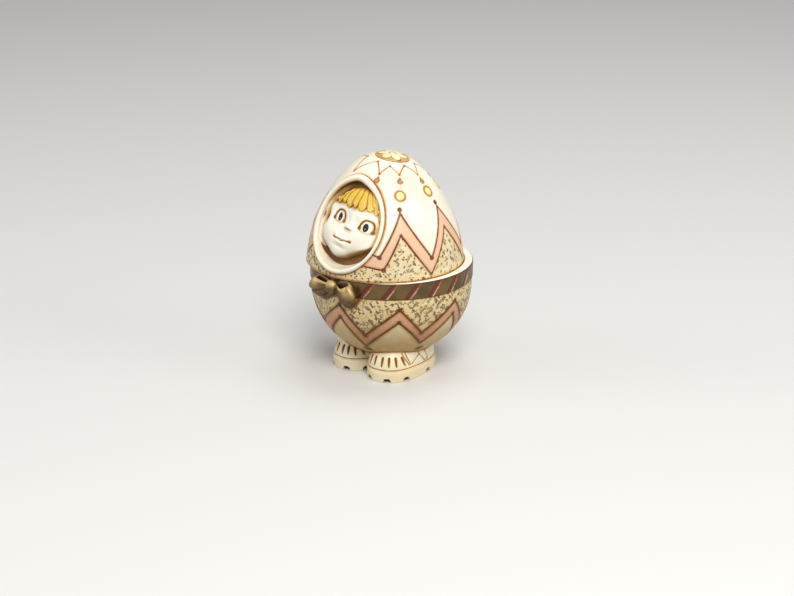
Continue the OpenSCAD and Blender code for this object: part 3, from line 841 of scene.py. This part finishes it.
def on_front(flat, height):
    """Points of the lid's front seen from ahead, raised from its skin by a height."""
    x, z = flat[..., 0], flat[..., 1] + HOOD_Z
    r = np.interp(z, LID[:, 1], LID[:, 0])
    y = -np.sqrt(np.maximum(r ** 2 - x ** 2, 0))
    d = np.gradient(LID, axis=0)
    slope = np.interp(z, LID[:, 1], -d[:, 0] / np.maximum(d[:, 1], 1e-6))
    return join(x, y, z) + np.asarray(height)[..., None] * unit(join(x / r, y / r, slope))


def left_side(turn):
    """1 on the hood's side at the figure's left, where its rim is slimmer."""
    return smooth(cosine(turn), 0.3, 0.9)


def recess_hollow(turn):
    """1 on the side at the figure's right, where the recess wall runs into the floor in a hollow."""
    return smooth(cosine(turn - 158), 0.0, 0.85)


def recess_top(turn):
    """1 at the top of the recess, which lies in shade."""
    return smooth(sine(turn), 0.1, 0.8)


def hood_rim():
    """A soft rolled rim that turns into the recess wall behind it."""
    columns, deep_rows = 360, 30
    turn = circle(columns)
    outline, facing = egg_outline(turn), join(cosine(turn), sine(turn))
    slim = left_side(turn)
    roll = np.linspace(-20, 180, 26)
    rows = []
    for k in roll:
        inset = 0.35 * slim + (RIM_W - 0.65 * slim) / 2 * (1 - cosine(k))
        rows.append(on_front(outline - inset[:, None] * facing, RIM_H * (1 - 0.45 * slim) * sine(k)))
    start = rows[-1][:, 1]
    depth = np.linspace(0, 1, deep_rows + 1)[1:]
    for k in depth:
        edge = outline - (RIM_W - 0.3 * slim + 0.5 * k ** 2)[:, None] * facing
        floor = -FLOOR_Y + math.tan(math.radians(FLOOR_TILT)) * edge[:, 1] + 0.5
        rows.append(join(edge[:, 0], start + k * (floor - start), edge[:, 1] + HOOD_Z))
    # Painted shade: the inner side of the roll and the wall darken towards the recess floor, most at the top
    # of the recess; the outer edge holds the brown of the incised line
    over, roll, deep = recess_top(turn), roll[:, None], depth[:, None]
    on_bead = smooth(roll, 100, 178) * (0.5 * over + 0.04) + 0.45 * smooth(roll, 6, -14)
    corner = smooth(deep, 0.75, 1.0) * (1 - recess_hollow(turn))
    below = 0.02 + 0.08 * smooth(deep, 0.2, 0.7) + 0.8 * corner
    on_wall = np.maximum((0.5 + 0.5 * smooth(deep, 0.0, 0.6)) * over, below)
    shape = Shape()
    shape.add(np.stack(rows), grid(len(rows), columns), stain=np.vstack([on_bead, on_wall]))
    piece("hood", shape, "lid", "hood_rim", resin("hood_resin", wash=DEEP), sharp=60)


# Lid with its upper band and crown ornament

def both(*corners):
    """Corners on the figure's left, and the same on its right."""
    return [(side * t, z) for t, z in corners for side in (1, -1)]


UPPER_UP_PEAKS = both((52.4, 54.2), (96.6, 54.2), (139.0, 54.3)) + [(180.0, 54.2)]
UPPER_UP_VALLEYS = both((74.7, 40.6), (117.5, 40.8), (160.0, 40.6))
UPPER_LOW_PEAKS = both((51.0, 48.3), (95.4, 48.3), (138.5, 48.4)) + [(180.0, 48.3)]
UPPER_LOW_VALLEYS = both((73.0, 35.7), (116.5, 35.9), (159.5, 35.8))
UPPER_UP_ENDS = [(33.8, 42.0), (-35.0, 43.6), (28.0, 42.9), (-28.0, 46.0)]
UPPER_LOW_ENDS = [(37.0, 38.3), (-41.0, 38.4), (20.0, 39.5), (-28.0, 42.8)]
UPPER_LINE, UPPER_DOT, UPPER_TIP, UPPER_CARVE = 0.27, 0.72, 0.5, 0.2
CROWN_LINE, CROWN_DOT, HUNG_DOT, DROP_R, DROP_LINE = 0.14, 0.42, 0.34, 0.78, 0.13
HOOP_R, HOOP_HALF, DISC_R = 1.6, 0.3, 1.5
MEDAL, MEDAL_R, MEDAL_T, PETALS = (2.2, 0.9), 5.4, 0.3, 6
CROWN_VALLEYS = np.array([(15.0, 10.2), (50.7, 9.3), (92.9, 9.3), (137.0, 9.5), (180.0, 9.7), (-130.0, 10.2),
                          (-80.0, 10.8), (-31.0, 12.4)])
CROWN_PEAKS = np.array([(31.3, 7.1), (72.1, 6.4), (117.3, 6.7), (158.0, 6.8), (-155.0, 7.0), (-105.0, 7.3),
                        (-52.0, 7.5), (-4.0, 6.6)])
CROWN_RINGS = np.array([(47.4, 14.1), (92.0, 13.2), (136.0, 13.6), (180.0, 14.0), (-131.0, 14.6),
                        (-81.0, 15.2)])


def on_crown(turn, reach):
    """Points of the lid's crown at a plan distance from the medallion's middle."""
    x, y = MEDAL[0] + reach * sine(turn), MEDAL[1] - reach * cosine(turn)
    return join(x, y, np.interp(np.hypot(x, y), LID[::-1, 0], LID[::-1, 1]))


def crown_path():
    """The crown's zigzag, straight from corner to corner in plan."""
    ring = np.stack([CROWN_VALLEYS, CROWN_PEAKS], axis=1).reshape(-1, 2)
    corners = ring[:, 1:] * join(sine(ring[:, 0]), cosine(ring[:, 0]))
    legs = [np.linspace(a, b, 8, endpoint=False) for a, b in zip(corners, np.roll(corners, -1, axis=0))]
    x, y = np.vstack(legs + [corners[:1]]).T
    return on_crown(np.degrees(np.arctan2(x, y)), np.hypot(x, y))


def lid_shell():
    """The lid: carved outside, hood opening, and the inside with its spigot."""
    shape = Shape()
    points, normals = turned(resample(LID, LID_ROWS)[:-1], ROUND)
    flat = points.reshape(-1, 3)
    up = above_zigzag(LID, UPPER_UP_PEAKS + UPPER_UP_VALLEYS + UPPER_UP_ENDS, flat)
    low = above_zigzag(LID, UPPER_LOW_PEAKS + UPPER_LOW_VALLEYS + UPPER_LOW_ENDS, flat)
    dots = [(t, z + 0.9) for t, z in UPPER_UP_PEAKS] + UPPER_UP_VALLEYS
    dots += UPPER_UP_ENDS[:2] + UPPER_LOW_ENDS[:2]
    tips = [(t, z - 0.3) for t, z in UPPER_LOW_PEAKS] + [(t, z + 0.2) for t, z in UPPER_LOW_VALLEYS]
    line = least(abs(up) - UPPER_LINE, abs(low) - UPPER_LINE, nearest(flat, on_spots(LID, dots)) - UPPER_DOT,
                 nearest(flat, on_spots(LID, tips)) - UPPER_TIP)
    turn, reach = CROWN_VALLEYS[:-1].T
    drop = nearest(flat, on_crown(turn - 0.7, reach + 1.7)) - DROP_R
    crown = least(distance(flat, crown_path()) - CROWN_LINE, abs(drop) - DROP_LINE,
                  nearest(flat, on_crown(*np.vstack([CROWN_VALLEYS, CROWN_PEAKS]).T)) - CROWN_DOT,
                  nearest(flat, on_crown(turn, reach + 0.95)) - HUNG_DOT)
    rings = nearest(flat, on_crown(*CROWN_RINGS.T))
    hoop = abs(rings - HOOP_R) - HOOP_HALF
    across = join(flat[:, 0], flat[:, 2] - HOOD_Z)
    gap = np.where(flat[:, 1] < 0, outline_gap(across), Shape.FAR)
    slim = left_side(np.degrees(np.arctan2(across[:, 1], across[:, 0])))
    outline = abs(gap - 0.05 + 0.25 * slim) - 0.17
    cut = least(line, crown, outline, drop, hoop)
    depth = UPPER_CARVE * smooth(cut, *CUT_EDGE) + GROUND_SINK * smooth(low, 0.1, -0.3)
    flat = carved(points, depth, normals)
    z = flat[:, 2] - SEAM_Z
    # Painted shade along the seam under the lid's edge and just outside the hood's rim, and wash in the
    # carved lines
    stain = 0.65 * smooth(z, 0.5, 0.1) + 0.25 * smooth(z, 2, 0) + 0.35 * smooth(cut, 0.7, 0.0)
    faces = grid(*points.shape[:2])
    shown = (gap > -RIM_W / 2)[faces].any(axis=1)
    shape.add(flat, faces[shown], line=line, pink=np.maximum(up, -low), speckle=low + 0.2, rust=crown,
              ochre=drop, outline=outline, hoop=hoop, disc=rings - DISC_R,
              stain=stain + 0.18 * smooth(gap, 0.9, 0.1))
    shape.fan(points[-1], [0, 0, LID_TOP])

    wall = lid_section(WALL)
    top, foot, hole = SEAM_Z + FLANGE_H, SEAM_Z - SPIGOT_H, SPIGOT_R - SPIGOT_W
    wall = wall[wall[:, 1] > top]
    inside = np.vstack([
        resample(wall[::-1], 70)[1:],
        [[wall[0, 0], top], [hole, top], [hole, foot],
         [SPIGOT_R, foot], [SPIGOT_R, SEAM_Z], [LID_R, SEAM_Z]]])
    points, _ = turned(inside, LID_INSIDE)
    x, y, z = points.reshape(-1, 3).T
    gap = np.where((y < 0) & (z > top - 0.1), outline_gap(join(x, z - HOOD_Z), RIM_W), Shape.FAR)
    faces = grid(*points.shape[:2])
    shown = (gap > 0.1)[faces].all(axis=1)
    shape.add(points, faces[shown], stain=0.3)
    shape.fan(points[0], [0, 0, wall[-1, 1]], flip=True, stain=0.3)
    layers = [("pink", PINK), ("disc", YELLOW), ("hoop", OCHRE), ("ochre", DROP), ("rust", RUST),
              ("outline", HOOD_LINE), ("line", BROWN_LIGHT)]
    piece("lid", shape, "lid", "lid_shell", resin("lid_resin", layers=layers, speckle=0.52))


def crown_medallion():
    """A low rosette: petals round a boss, inside a raised edge."""
    rows, columns = 70, 288
    reach, turn = np.linspace(0.05, MEDAL_R, rows)[:, None], circle(columns)[None, :]
    skin = on_crown(turn, reach)
    petal = np.sqrt(abs(cosine(turn * PETALS / 2)))
    flower = smooth(reach, 1.7 + 3.1 * petal, 1.3 + 3.0 * petal) * smooth(reach, 0.9, 1.3)
    boss, edge = smooth(reach, 1.05, 0.7), smooth(reach, 4.9, 5.1)
    height = MEDAL_T * (0.35 + 0.45 * flower + 0.5 * boss + 0.5 * edge)
    height = height * smooth(reach, MEDAL_R + 0.02, MEDAL_R - 0.3)
    points = skin - (height - 0.02)[..., None] * grid_normals(skin)
    hollow = 1 - limit(flower + boss + edge)
    line = least(abs(reach - 1.5 - 3.05 * petal) / 2 - 0.08, abs(reach - 1.1) - 0.1,
                 abs(reach - MEDAL_R + 0.2) - 0.1)
    shape = Shape()
    shape.add(points, grid(rows, columns)[:, ::-1], line=line,
              stain=0.1 + 0.36 * hollow + 0.12 * smooth(reach, 2.5, 4.5))
    shape.fan(points[0], points[0].mean(0), stain=0.2)
    material = resin("medallion_resin", MEDAL_CREAM, MEDAL_WARM, [("line", MEDAL_LINE)])
    piece("medallion", shape, "lid", "crown_medallion", material)


# Face and hair on the recess floor

FACE_MIDDLE, FACE_ROLL, FACE_H = (2.45, -0.6), 9.6, 4.2
EYES = ((5.25, 2.45), (-4.65, 2.4))
EYE_HALF, EYE_LOW, PUPIL = 1.97, 1.05, (0.74, 1.34)
NOSE_X, NOSE_Y, MOUTH_X, MOUTH_Y, MOUTH_HALF = 0.0, 0.3, -0.85, -4.2, 3.05

# Soft forms and shades of the face: amount, middle, how far to both sides of it, height on the face,
# half width and half height
FACE_FORMS = (
    (0.6, 0.0, 5.4, -2.6, 3.8, 3.2),                                # cheeks
    (0.4, 0.0, 0.0, 5.2, 6.5, 2.0),                                 # forehead
    (1.15, NOSE_X, 0.0, NOSE_Y, 1.1, 1.05),                         # nose, its wings and its bridge
    (0.55, NOSE_X, 0.95, NOSE_Y - 0.25, 0.55, 0.6),
    (0.4, 0.0, 0.0, 2.2, 0.9, 2.0),
    *((-0.6, x, 0.0, y, 2.8, 2.4) for x, y in EYES),                # eye sockets
    (0.5, MOUTH_X, 0.0, MOUTH_Y, 3.4, 2.6),                         # round the mouth
    (0.35, MOUTH_X, 0.0, MOUTH_Y + 0.75, 1.3, 0.5),                 # upper lip and the groove above it
    (-0.12, MOUTH_X + 0.1, 0.0, MOUTH_Y + 1.6, 0.35, 0.8),
    (0.5, MOUTH_X, 0.0, MOUTH_Y - 0.9, 1.8, 0.6),                   # lower lip and the hollow below it
    (-0.25, MOUTH_X, 0.0, MOUTH_Y - 2.1, 2.2, 0.6),
    (0.6, -1.0, 0.0, -8.0, 2.6, 1.7),                               # chin
    (-0.25, MOUTH_X, MOUTH_HALF + 0.3, MOUTH_Y + 0.5, 0.6, 0.7))    # corners of the mouth
FACE_SHADES = (
    (0.45, NOSE_X, 0.6, NOSE_Y - 0.8, 0.9, 0.4),                    # under the nose
    (0.5, NOSE_X, 0.0, NOSE_Y - 0.6, 0.5, 0.35),
    (0.35, MOUTH_X + 0.8, 0.0, MOUTH_Y - 1.9, 1.8, 0.45),           # under the lower lip
    (0.4, MOUTH_X, MOUTH_HALF + 0.2, MOUTH_Y + 0.4, 0.5, 0.5))      # corners of the mouth
JAW = np.array([
    (-0.9, -9.8), (-2.7, -9.2), (-4.6, -7.8), (-7.0, -5.8), (-8.1, -4.4), (-8.8, -2.9), (-8.6, -1.0),
    (-7.7, 0.7), (-7.4, 2.2), (-7.5, 3.6), (-7.5, 4.9), (-6.8, 6.4), (-5.5, 7.7), (-3.0, 9.5),
    (3.0, 10.6), (8.0, 9.5), (12.5, 6.0), (13.2, 1.0), (12.6, -2.5), (10.9, -4.6), (8.9, -5.8),
    (6.5, -7.1), (4.0, -8.3), (1.7, -9.4)])
HAIR_LOW = np.array([(-5.7, 6.6), (-3.2, 6.2), (-1.3, 6.3), (1.0, 5.75), (2.5, 5.3), (4.9, 5.4),
                     (7.0, 5.4), (8.6, 5.3), (9.8, 4.6), (10.8, 3.0)])
HAIR_TOP = np.array([(-5.7, 7.0), (-3.8, 8.7), (-2.6, 10.0), (-1.8, 10.8), (0.0, 12.0), (2.1, 12.5),
                     (4.3, 12.2), (6.8, 11.0), (8.8, 9.4), (10.0, 8.0), (10.8, 6.0)])
LOCKS = (-5.8, -4.2, -2.2, -0.3, 2.2, 4.0, 6.3, 8.3, 9.7, 10.9)
LOCK_DROP = np.array([0.1, 0.0, 0.2, -0.3, 0.25, -0.35, 0.15, -0.25, 0.0, 0.0])


def hair_low(s):
    """Height on the floor of the fringe's lower edge."""
    return np.interp(s, HAIR_LOW[:, 0], HAIR_LOW[:, 1])


def on_recess(s, t, height):
    """Points over the recess floor: to the figure's left, up the floor and out of it."""
    c, d = cosine(FLOOR_TILT), sine(FLOOR_TILT)
    return join(s, -FLOOR_Y + t * d - height * c, HOOD_Z + t * c + height * d)


def features(s, t):
    """Coordinates along the features' own axes, which lean with the head."""
    c, d = cosine(FACE_ROLL), sine(FACE_ROLL)
    x, y = s - FACE_MIDDLE[0], t - FACE_MIDDLE[1]
    return x * c - y * d, x * d + y * c


def recess_outline(turn, inset):
    """The hood's outline, laid on the sloping floor."""
    x, y = egg_outline(turn, inset).T
    return x, y / cosine(FLOOR_TILT)


def bump(a, b, x, y, wide, tall):
    """A soft hill of height 1 round a place."""
    return np.exp(-((a - x) / wide) ** 2 - ((b - y) / tall) ** 2)


def forms(a, b, table):
    """Sum of the soft forms in a table."""
    return sum(amount * bump(abs(a - middle), b, off, up, wide, tall)
               for amount, middle, off, up, wide, tall in table)


def spline(points, count):
    """Smooth closed path through some points."""
    u = np.linspace(0, 1, count, endpoint=False)[None, :, None]
    p0, p1, p2, p3 = (np.roll(points, k, axis=0)[:, None] for k in (1, 0, -1, -2))
    path = 0.5 * (2 * p1 + (p2 - p0) * u + (2 * p0 - 5 * p1 + 4 * p2 - p3) * u ** 2
                  + (3 * p1 - p0 - 3 * p2 + p3) * u ** 3).reshape(-1, 2)
    return np.vstack([path, path[:1]])


def lower_of(a, b, sharp=3.0):
    """The lower of two heights, with a soft change from one to the other."""
    return -np.logaddexp(-sharp * a, -sharp * b) / sharp


def in_recess(s, t):
    """Distance from the recess wall, and the height of the lid's skin over the recess floor."""
    wall = -outline_gap(join(s.ravel(), t.ravel() * cosine(FLOOR_TILT)), RIM_W).reshape(s.shape)
    low, high = np.full(s.shape, -3.0), np.full(s.shape, 9.0)
    for _ in range(20):
        middle = (low + high) / 2
        x, y, z = np.moveaxis(on_recess(s, t, middle), -1, 0)
        within = np.hypot(x, y) < np.interp(z, LID[:, 1], LID[:, 0])
        low, high = np.where(within, middle, low), np.where(within, high, middle)
    return wall, low


def headroom(wall, skin):
    """Greatest height of the relief: just under the lid's skin at the wall, and more further in."""
    return skin - 0.35 + 1.2 * smooth(wall, 0.3, 4.5) + 2 * smooth(wall, 4, 8)


def eye_lines():
    """Upper and lower lid of an eye, from its inner to its outer corner."""
    x = -EYE_HALF * np.cos(np.linspace(0, np.pi, 41))
    bow = 1 - abs(x / EYE_HALF) ** 2.9
    return join(x, 2.9 * bow ** 0.55 - EYE_LOW), join(x, -0.9 * bow ** 0.7 - EYE_LOW)


def face_height(a, b, edge):
    """Relief of the face over the recess floor, from the features' axes and the distance inside its edge."""
    dome = limit(1 - (1 - limit(edge / 3.0)) ** 2.6) ** (1 / 2.6)
    return FACE_H * dome * (1 - 0.1 * (a / 10) ** 2) + forms(a, b, FACE_FORMS) * limit(dome * 1.2)


def eyes(a, b, height):
    """Adds both eyes to the relief; returns it with the painted lines, pupils, glints, and the wash and
    painted shade round them.
    """
    line = pupil = glint = np.full(a.shape, Shape.FAR)
    shade = np.zeros(a.shape)
    upper, lower = eye_lines()
    for ex, ey in EYES:
        x, y = (a - ex) * np.sign(ex), b - ey
        xy = join(x.ravel(), y.ravel())
        lid, under = (distance(xy, path).reshape(a.shape) for path in (upper, lower))
        eye = outside(xy, np.vstack([upper, lower[::-1]])).reshape(a.shape)
        ball = 0.85 * np.sqrt(limit(1 - (x / 3.2) ** 2 - (y / 2.9) ** 2))
        height = height + smooth(eye, 0.1, -0.25) * (ball - 0.35)
        height = height + (0.3 * smooth(lid, 0.85, 0.1) + 0.14 * smooth(under, 0.5, 0.1)) * (eye > 0)
        line = least(line, lid - 0.08 - 0.15 * smooth(y, -EYE_LOW - 0.2, 0.4))
        shade = shade + 0.6 * smooth(lid, 0.95, 0.1) + 0.4 * smooth(under, 0.7, 0.0)
        shade = shade + 0.8 * bump(abs(x), y, EYE_HALF - 0.1, -EYE_LOW, 0.55, 0.45)
        px, py = a - ex + 0.25 * (ex > 0) + 0.08 * y, y + 0.35
        pupil = least(pupil, np.hypot(px / PUPIL[0], py / PUPIL[1]) - 1)
        glint = least(glint, np.hypot(px / 0.45, py + 0.45) - 0.26)
    return height, line, pupil, glint, shade


def face():
    """The recess floor with the face in relief on it."""
    rows, columns = 170, 360
    turn, centre = circle(columns), (0.8, 0.5)
    ring = (np.arange(1, rows + 1) / rows)[:, None]
    s, t = (c + ring * (edge - c) for c, edge in zip(centre, recess_outline(turn, RIM_W - 0.6)))
    a, b = features(s, t)
    edge = -outside(join(s.ravel(), t.ravel()), spline(JAW, 8)).reshape(a.shape)
    height, line, pupil, glint, shade = eyes(a, b, face_height(a, b, edge))
    x = np.clip(a - MOUTH_X, -MOUTH_HALF, MOUTH_HALF)
    smile = MOUTH_Y + 0.03 * x ** 2 + 0.06 * x
    smile = smile - 0.12 * np.exp(-(x / 0.6) ** 2) + 0.08 * np.exp(-((abs(x) - 1.2) / 0.7) ** 2)
    mouth = np.hypot(a - MOUTH_X - x, b - smile) - 0.12 - 0.08 * smooth(abs(x), 1.8, 3.2)
    nostril = np.hypot((abs(a - NOSE_X) - 0.6) / 1.35, b - NOSE_Y + 0.75) - 0.24
    height = height - 0.34 * smooth(mouth, 0.35, -0.1) - 0.3 * smooth(nostril, 0.3, -0.1)
    in_hair = t - hair_low(s)
    under = smooth(in_hair, 0.5, 3.0)
    wall, skin = in_recess(s, t)
    hollow = recess_hollow(turn)
    cove = 0.62 * skin * hollow * (1 - limit((wall + 0.4) / 3.4)) ** 2
    height = np.maximum(np.maximum(height, 0.0) * (1 - under), cove)
    height = lower_of(height, headroom(wall, skin))
    # The recess floor round the face and above the fringe is painted deep brown, as wash and painted shade
    floor = least(edge - 0.1, 2.5 * (0.45 - under)) + 3.0 * hollow * smooth(wall, 2.6, 0.8)
    shade = shade + forms(a, b, FACE_SHADES) + 0.3 * smooth(mouth, 0.6, 0.0)
    shade = shade + 0.55 * smooth(in_hair, -1.3, 0.3) + 0.6 * smooth(wall, 0.9, 0.1) * (1 - hollow)
    # Painted shade on the floor in the hollow and at the top of the recess
    in_hollow = 0.9 * np.maximum(hollow * smooth(wall, -0.6, 2.4), recess_top(turn))
    on_floor = np.maximum(smooth(floor, 0.4, -0.3), in_hollow)
    points = on_recess(s, t, height)
    shape = Shape()
    # Painted shade along the jaw's edge, round the eyes and features, and under the fringe
    shape.add(points, grid(rows, columns), line=least(line, mouth), pupil=pupil, glint=glint, floor=floor,
              stain=np.where(edge < 0, on_floor, shade + 0.6 * smooth(edge, 1.0, 0.0)))
    shape.fan(points[0], on_recess(*centre, height[0].mean()), flip=True, stain=0.0)
    back = on_recess(s[-1], t[-1], -FLOOR_T)
    shape.add(np.vstack([points[-1], back]), grid(2, columns), floor=-1.0, stain=0.0)
    shape.fan(back, back.mean(0), stain=0.6)
    paint = Paint("face_resin")
    paint.ground(SKIN, SKIN_WARM)
    # Wash and painted shade first, then the recess floor in deep brown, also painted shade
    paint.stain("stain")
    paint.layer("floor", DEEP, soft=0.5)
    for field, colour in (("line", FACE_LINE), ("pupil", BLACK), ("glint", GLINT)):
        paint.layer(field, colour, thin=1.0)
    piece("child_face", shape, "lid", "face", paint.done(gloss=0.3), sharp=75)


def hair_fringe():
    """A fringe of locks that fan out from the crown of the head, each with finer strands."""
    rows, columns = 120, 400
    s = np.linspace(HAIR_LOW[0, 0], HAIR_LOW[-1, 0], columns)[None, :]
    locks = np.arange(len(LOCKS))
    at_tip = np.interp(s, LOCKS, locks)
    tip = abs(2 * (at_tip % 1) - 1) ** 2.2
    low = hair_low(s) + 1.25 * tip + LOCK_DROP[np.floor(at_tip).astype(int)]
    top = np.interp(s, HAIR_TOP[:, 0], HAIR_TOP[:, 1])
    low = np.minimum(low, top - 0.3)
    v = np.linspace(0, 1, rows)[:, None]
    t = low + v * (top - low)
    spread = 1.2 + (s - 1.2) / (1 - 0.34 * v) + 0.35 * np.sin(4.2 * v + 0.5 * s)
    strand = np.interp(spread, LOCKS, locks)
    ridge = np.sin(np.pi * (strand % 1)) ** 0.55
    fine = np.sin(2 * np.pi * (strand * 4 + 0.35 * np.sin(3 * v)))
    dome = (FACE_H + 0.6) * np.sqrt(np.clip(1 - (abs(s - 1.0) / 12.5) ** 2.6, 0.02, 1))
    fall = np.sqrt(limit(1 - v ** 2.4))
    height = 0.2 + dome * (0.1 + 0.9 * fall) * smooth(v, -0.25, 0.04)
    height = height + (0.75 * (ridge - 0.6) + 0.11 * fine) * smooth(v, 0.0, 0.15) * (1 - 0.5 * v)
    edge_s, edge_t = recess_outline(np.linspace(-90, 90, 241), RIM_W)
    inside = np.minimum(s, np.interp(t, edge_t, edge_s))
    height = lower_of(height, headroom(*in_recess(inside, t)) + 0.3)
    points = on_recess(inside, t, height)
    shape = Shape()
    # Painted shade in the gaps between locks, under their tips and towards the top, where the recess lies in
    # shade
    stain = 0.8 * smooth(ridge, 0.78, 0.15) + 0.75 * smooth(v, 0.14, 0.0) * (0.45 + 0.55 * tip)
    shape.add(points, grid(rows, columns, wrap=False)[:, ::-1], stain=stain + 0.95 * smooth(v, 0.75, 1.0),
              shine=0.5 + 0.5 * fine * smooth(v, 0.9, 0.3))
    skirt = on_recess(inside[0], t[0], np.maximum(height[0] - 1.6, 0))
    shape.add(np.vstack([points[0], skirt]), grid(2, columns, wrap=False), stain=1.0, shine=0.0)
    paint = Paint("hair_paint")
    paint.ground(HAIR, HAIR_LIGHT, scale=240)
    paint.colour = paint.mix(paint.times(paint.field("shine"), 0.5), paint.colour, rgb(HAIR_SHINE))
    paint.stain("stain", HAIR_SHADE_AND_WASH, 0.9)
    piece("hair", shape, "lid", "hair_fringe", paint.done(rough=(0.36, 0.5), gloss=0.35), sharp=75)


BOW_PAINT = ribbon_paint("bow_bronze")
BOOT_PAINT = resin("boot_resin", BOOT_CREAM, BOOT_WARM, [("slot", BOOT_SLOT), ("line", BOOT_LINE)])
SOLE_PAINT = resin("sole_resin", SOLE_CREAM, SOLE_WARM)
HANDS = (("left", 1), ("right", -1))

base_bowl()
ribbon_band()
bow_knot()
for hand, side in HANDS:
    bow_loop(hand, side)
bow_tail()
for hand, side in HANDS:
    boot(hand, side)
    sole(hand, side)
lid_shell()
hood_rim()
crown_medallion()
face()
hair_fringe()


# Floor, light and camera

FLOOR_HALF, SKY_POWER, LAMP_AIM = 3.0, 0.36, (0, 0, 0.035)

# Name, place in metres, size, power and colour
LAMPS = (
    ("key", (0.46, -0.34, 0.64), 0.4, 5.5, (1.0, 0.985, 0.95)),
    ("side", (0.75, 0.35, 0.3), 0.5, 1.7, (1.0, 0.985, 0.95)),
    ("fill", (-0.55, -0.6, 0.3), 0.5, 1.5, (1.0, 0.98, 0.95)),
    ("top", (0.0, 0.2, 0.8), 0.5, 2.0, (1.0, 1.0, 1.0)))


def put(obj, place, aim):
    """Puts a lamp or camera in its place and points it."""
    obj.location = place
    obj.rotation_euler = (aim - place).to_track_quat("-Z", "Y").to_euler()


def backdrop():
    """A plain floor, pale to the eye and duller where it throws light back up at the object."""
    paint = Paint("pale_floor")
    path = paint.node("ShaderNodeLightPath").outputs
    mirrored = paint.math("MAXIMUM", path["Is Glossy Ray"], path["Is Transmission Ray"])
    seen = paint.math("MAXIMUM", path["Is Camera Ray"], mirrored)
    paint.colour = paint.mix(seen, rgb(FLOOR_LIT), rgb(FLOOR_SEEN))
    mesh = bpy.data.meshes.new("floor")
    h = FLOOR_HALF
    mesh.from_pydata([(-h, -h, 0), (h, -h, 0), (h, h, 0), (-h, h, 0)], [], [(0, 1, 2, 3)])
    mesh.materials.append(paint.done(rough=(0.66, 0.74), bump=0.0))
    floor = link("floor", mesh)


def lamp(name, place, size, power, colour):
    """A round soft lamp that is aimed at the middle of the object."""
    light = bpy.data.lights.new(name, "AREA")
    light.shape, light.size, light.energy, light.color = "DISK", size, power, colour
    put(link(name, light), Vector(place), Vector(LAMP_AIM))


CAMERA_TURN, CAMERA_RISE, CAMERA_FAR = 44.0, 18.5, 617.3
FOCAL_PX, FRAME_PX, SENSOR = 2000.0, (794, 596), 36.0
SEAM_PX = (391.6, 257.3)


def camera():
    """Camera of the photo: it looks a little below the seam's middle, which lies off the frame's middle."""
    turn, rise = math.radians(CAMERA_TURN), math.radians(CAMERA_RISE)
    target = Vector((0, 0, SEAM_Z))
    away = Vector((math.sin(turn) * math.cos(rise), -math.cos(turn) * math.cos(rise), math.sin(rise)))
    right = Vector((math.cos(turn), math.sin(turn), 0))
    up = away.cross(right)
    shift, lift = ((size / 2 - at) * CAMERA_FAR / FOCAL_PX for size, at in zip(FRAME_PX, SEAM_PX))
    aim = target + right * shift - up * lift
    data = bpy.data.cameras.new("camera")
    data.sensor_width = SENSOR
    data.lens = FOCAL_PX * SENSOR / FRAME_PX[0]
    data.clip_start = 0.01
    obj = link("camera", data)
    put(obj, (target + away * CAMERA_FAR) * MM, aim * MM)
    bpy.context.scene.camera = obj


def world():
    """Even, dim light from all round."""
    back = bpy.data.worlds.new("studio")
    back.use_nodes = True
    sky = back.node_tree.nodes["Background"]
    sky.inputs["Color"].default_value = rgb(SKY)
    sky.inputs["Strength"].default_value = SKY_POWER
    bpy.context.scene.world = back


backdrop()
world()
camera()
for settings in LAMPS:
    lamp(*settings)
bpy.context.scene.view_settings.view_transform = "Standard"
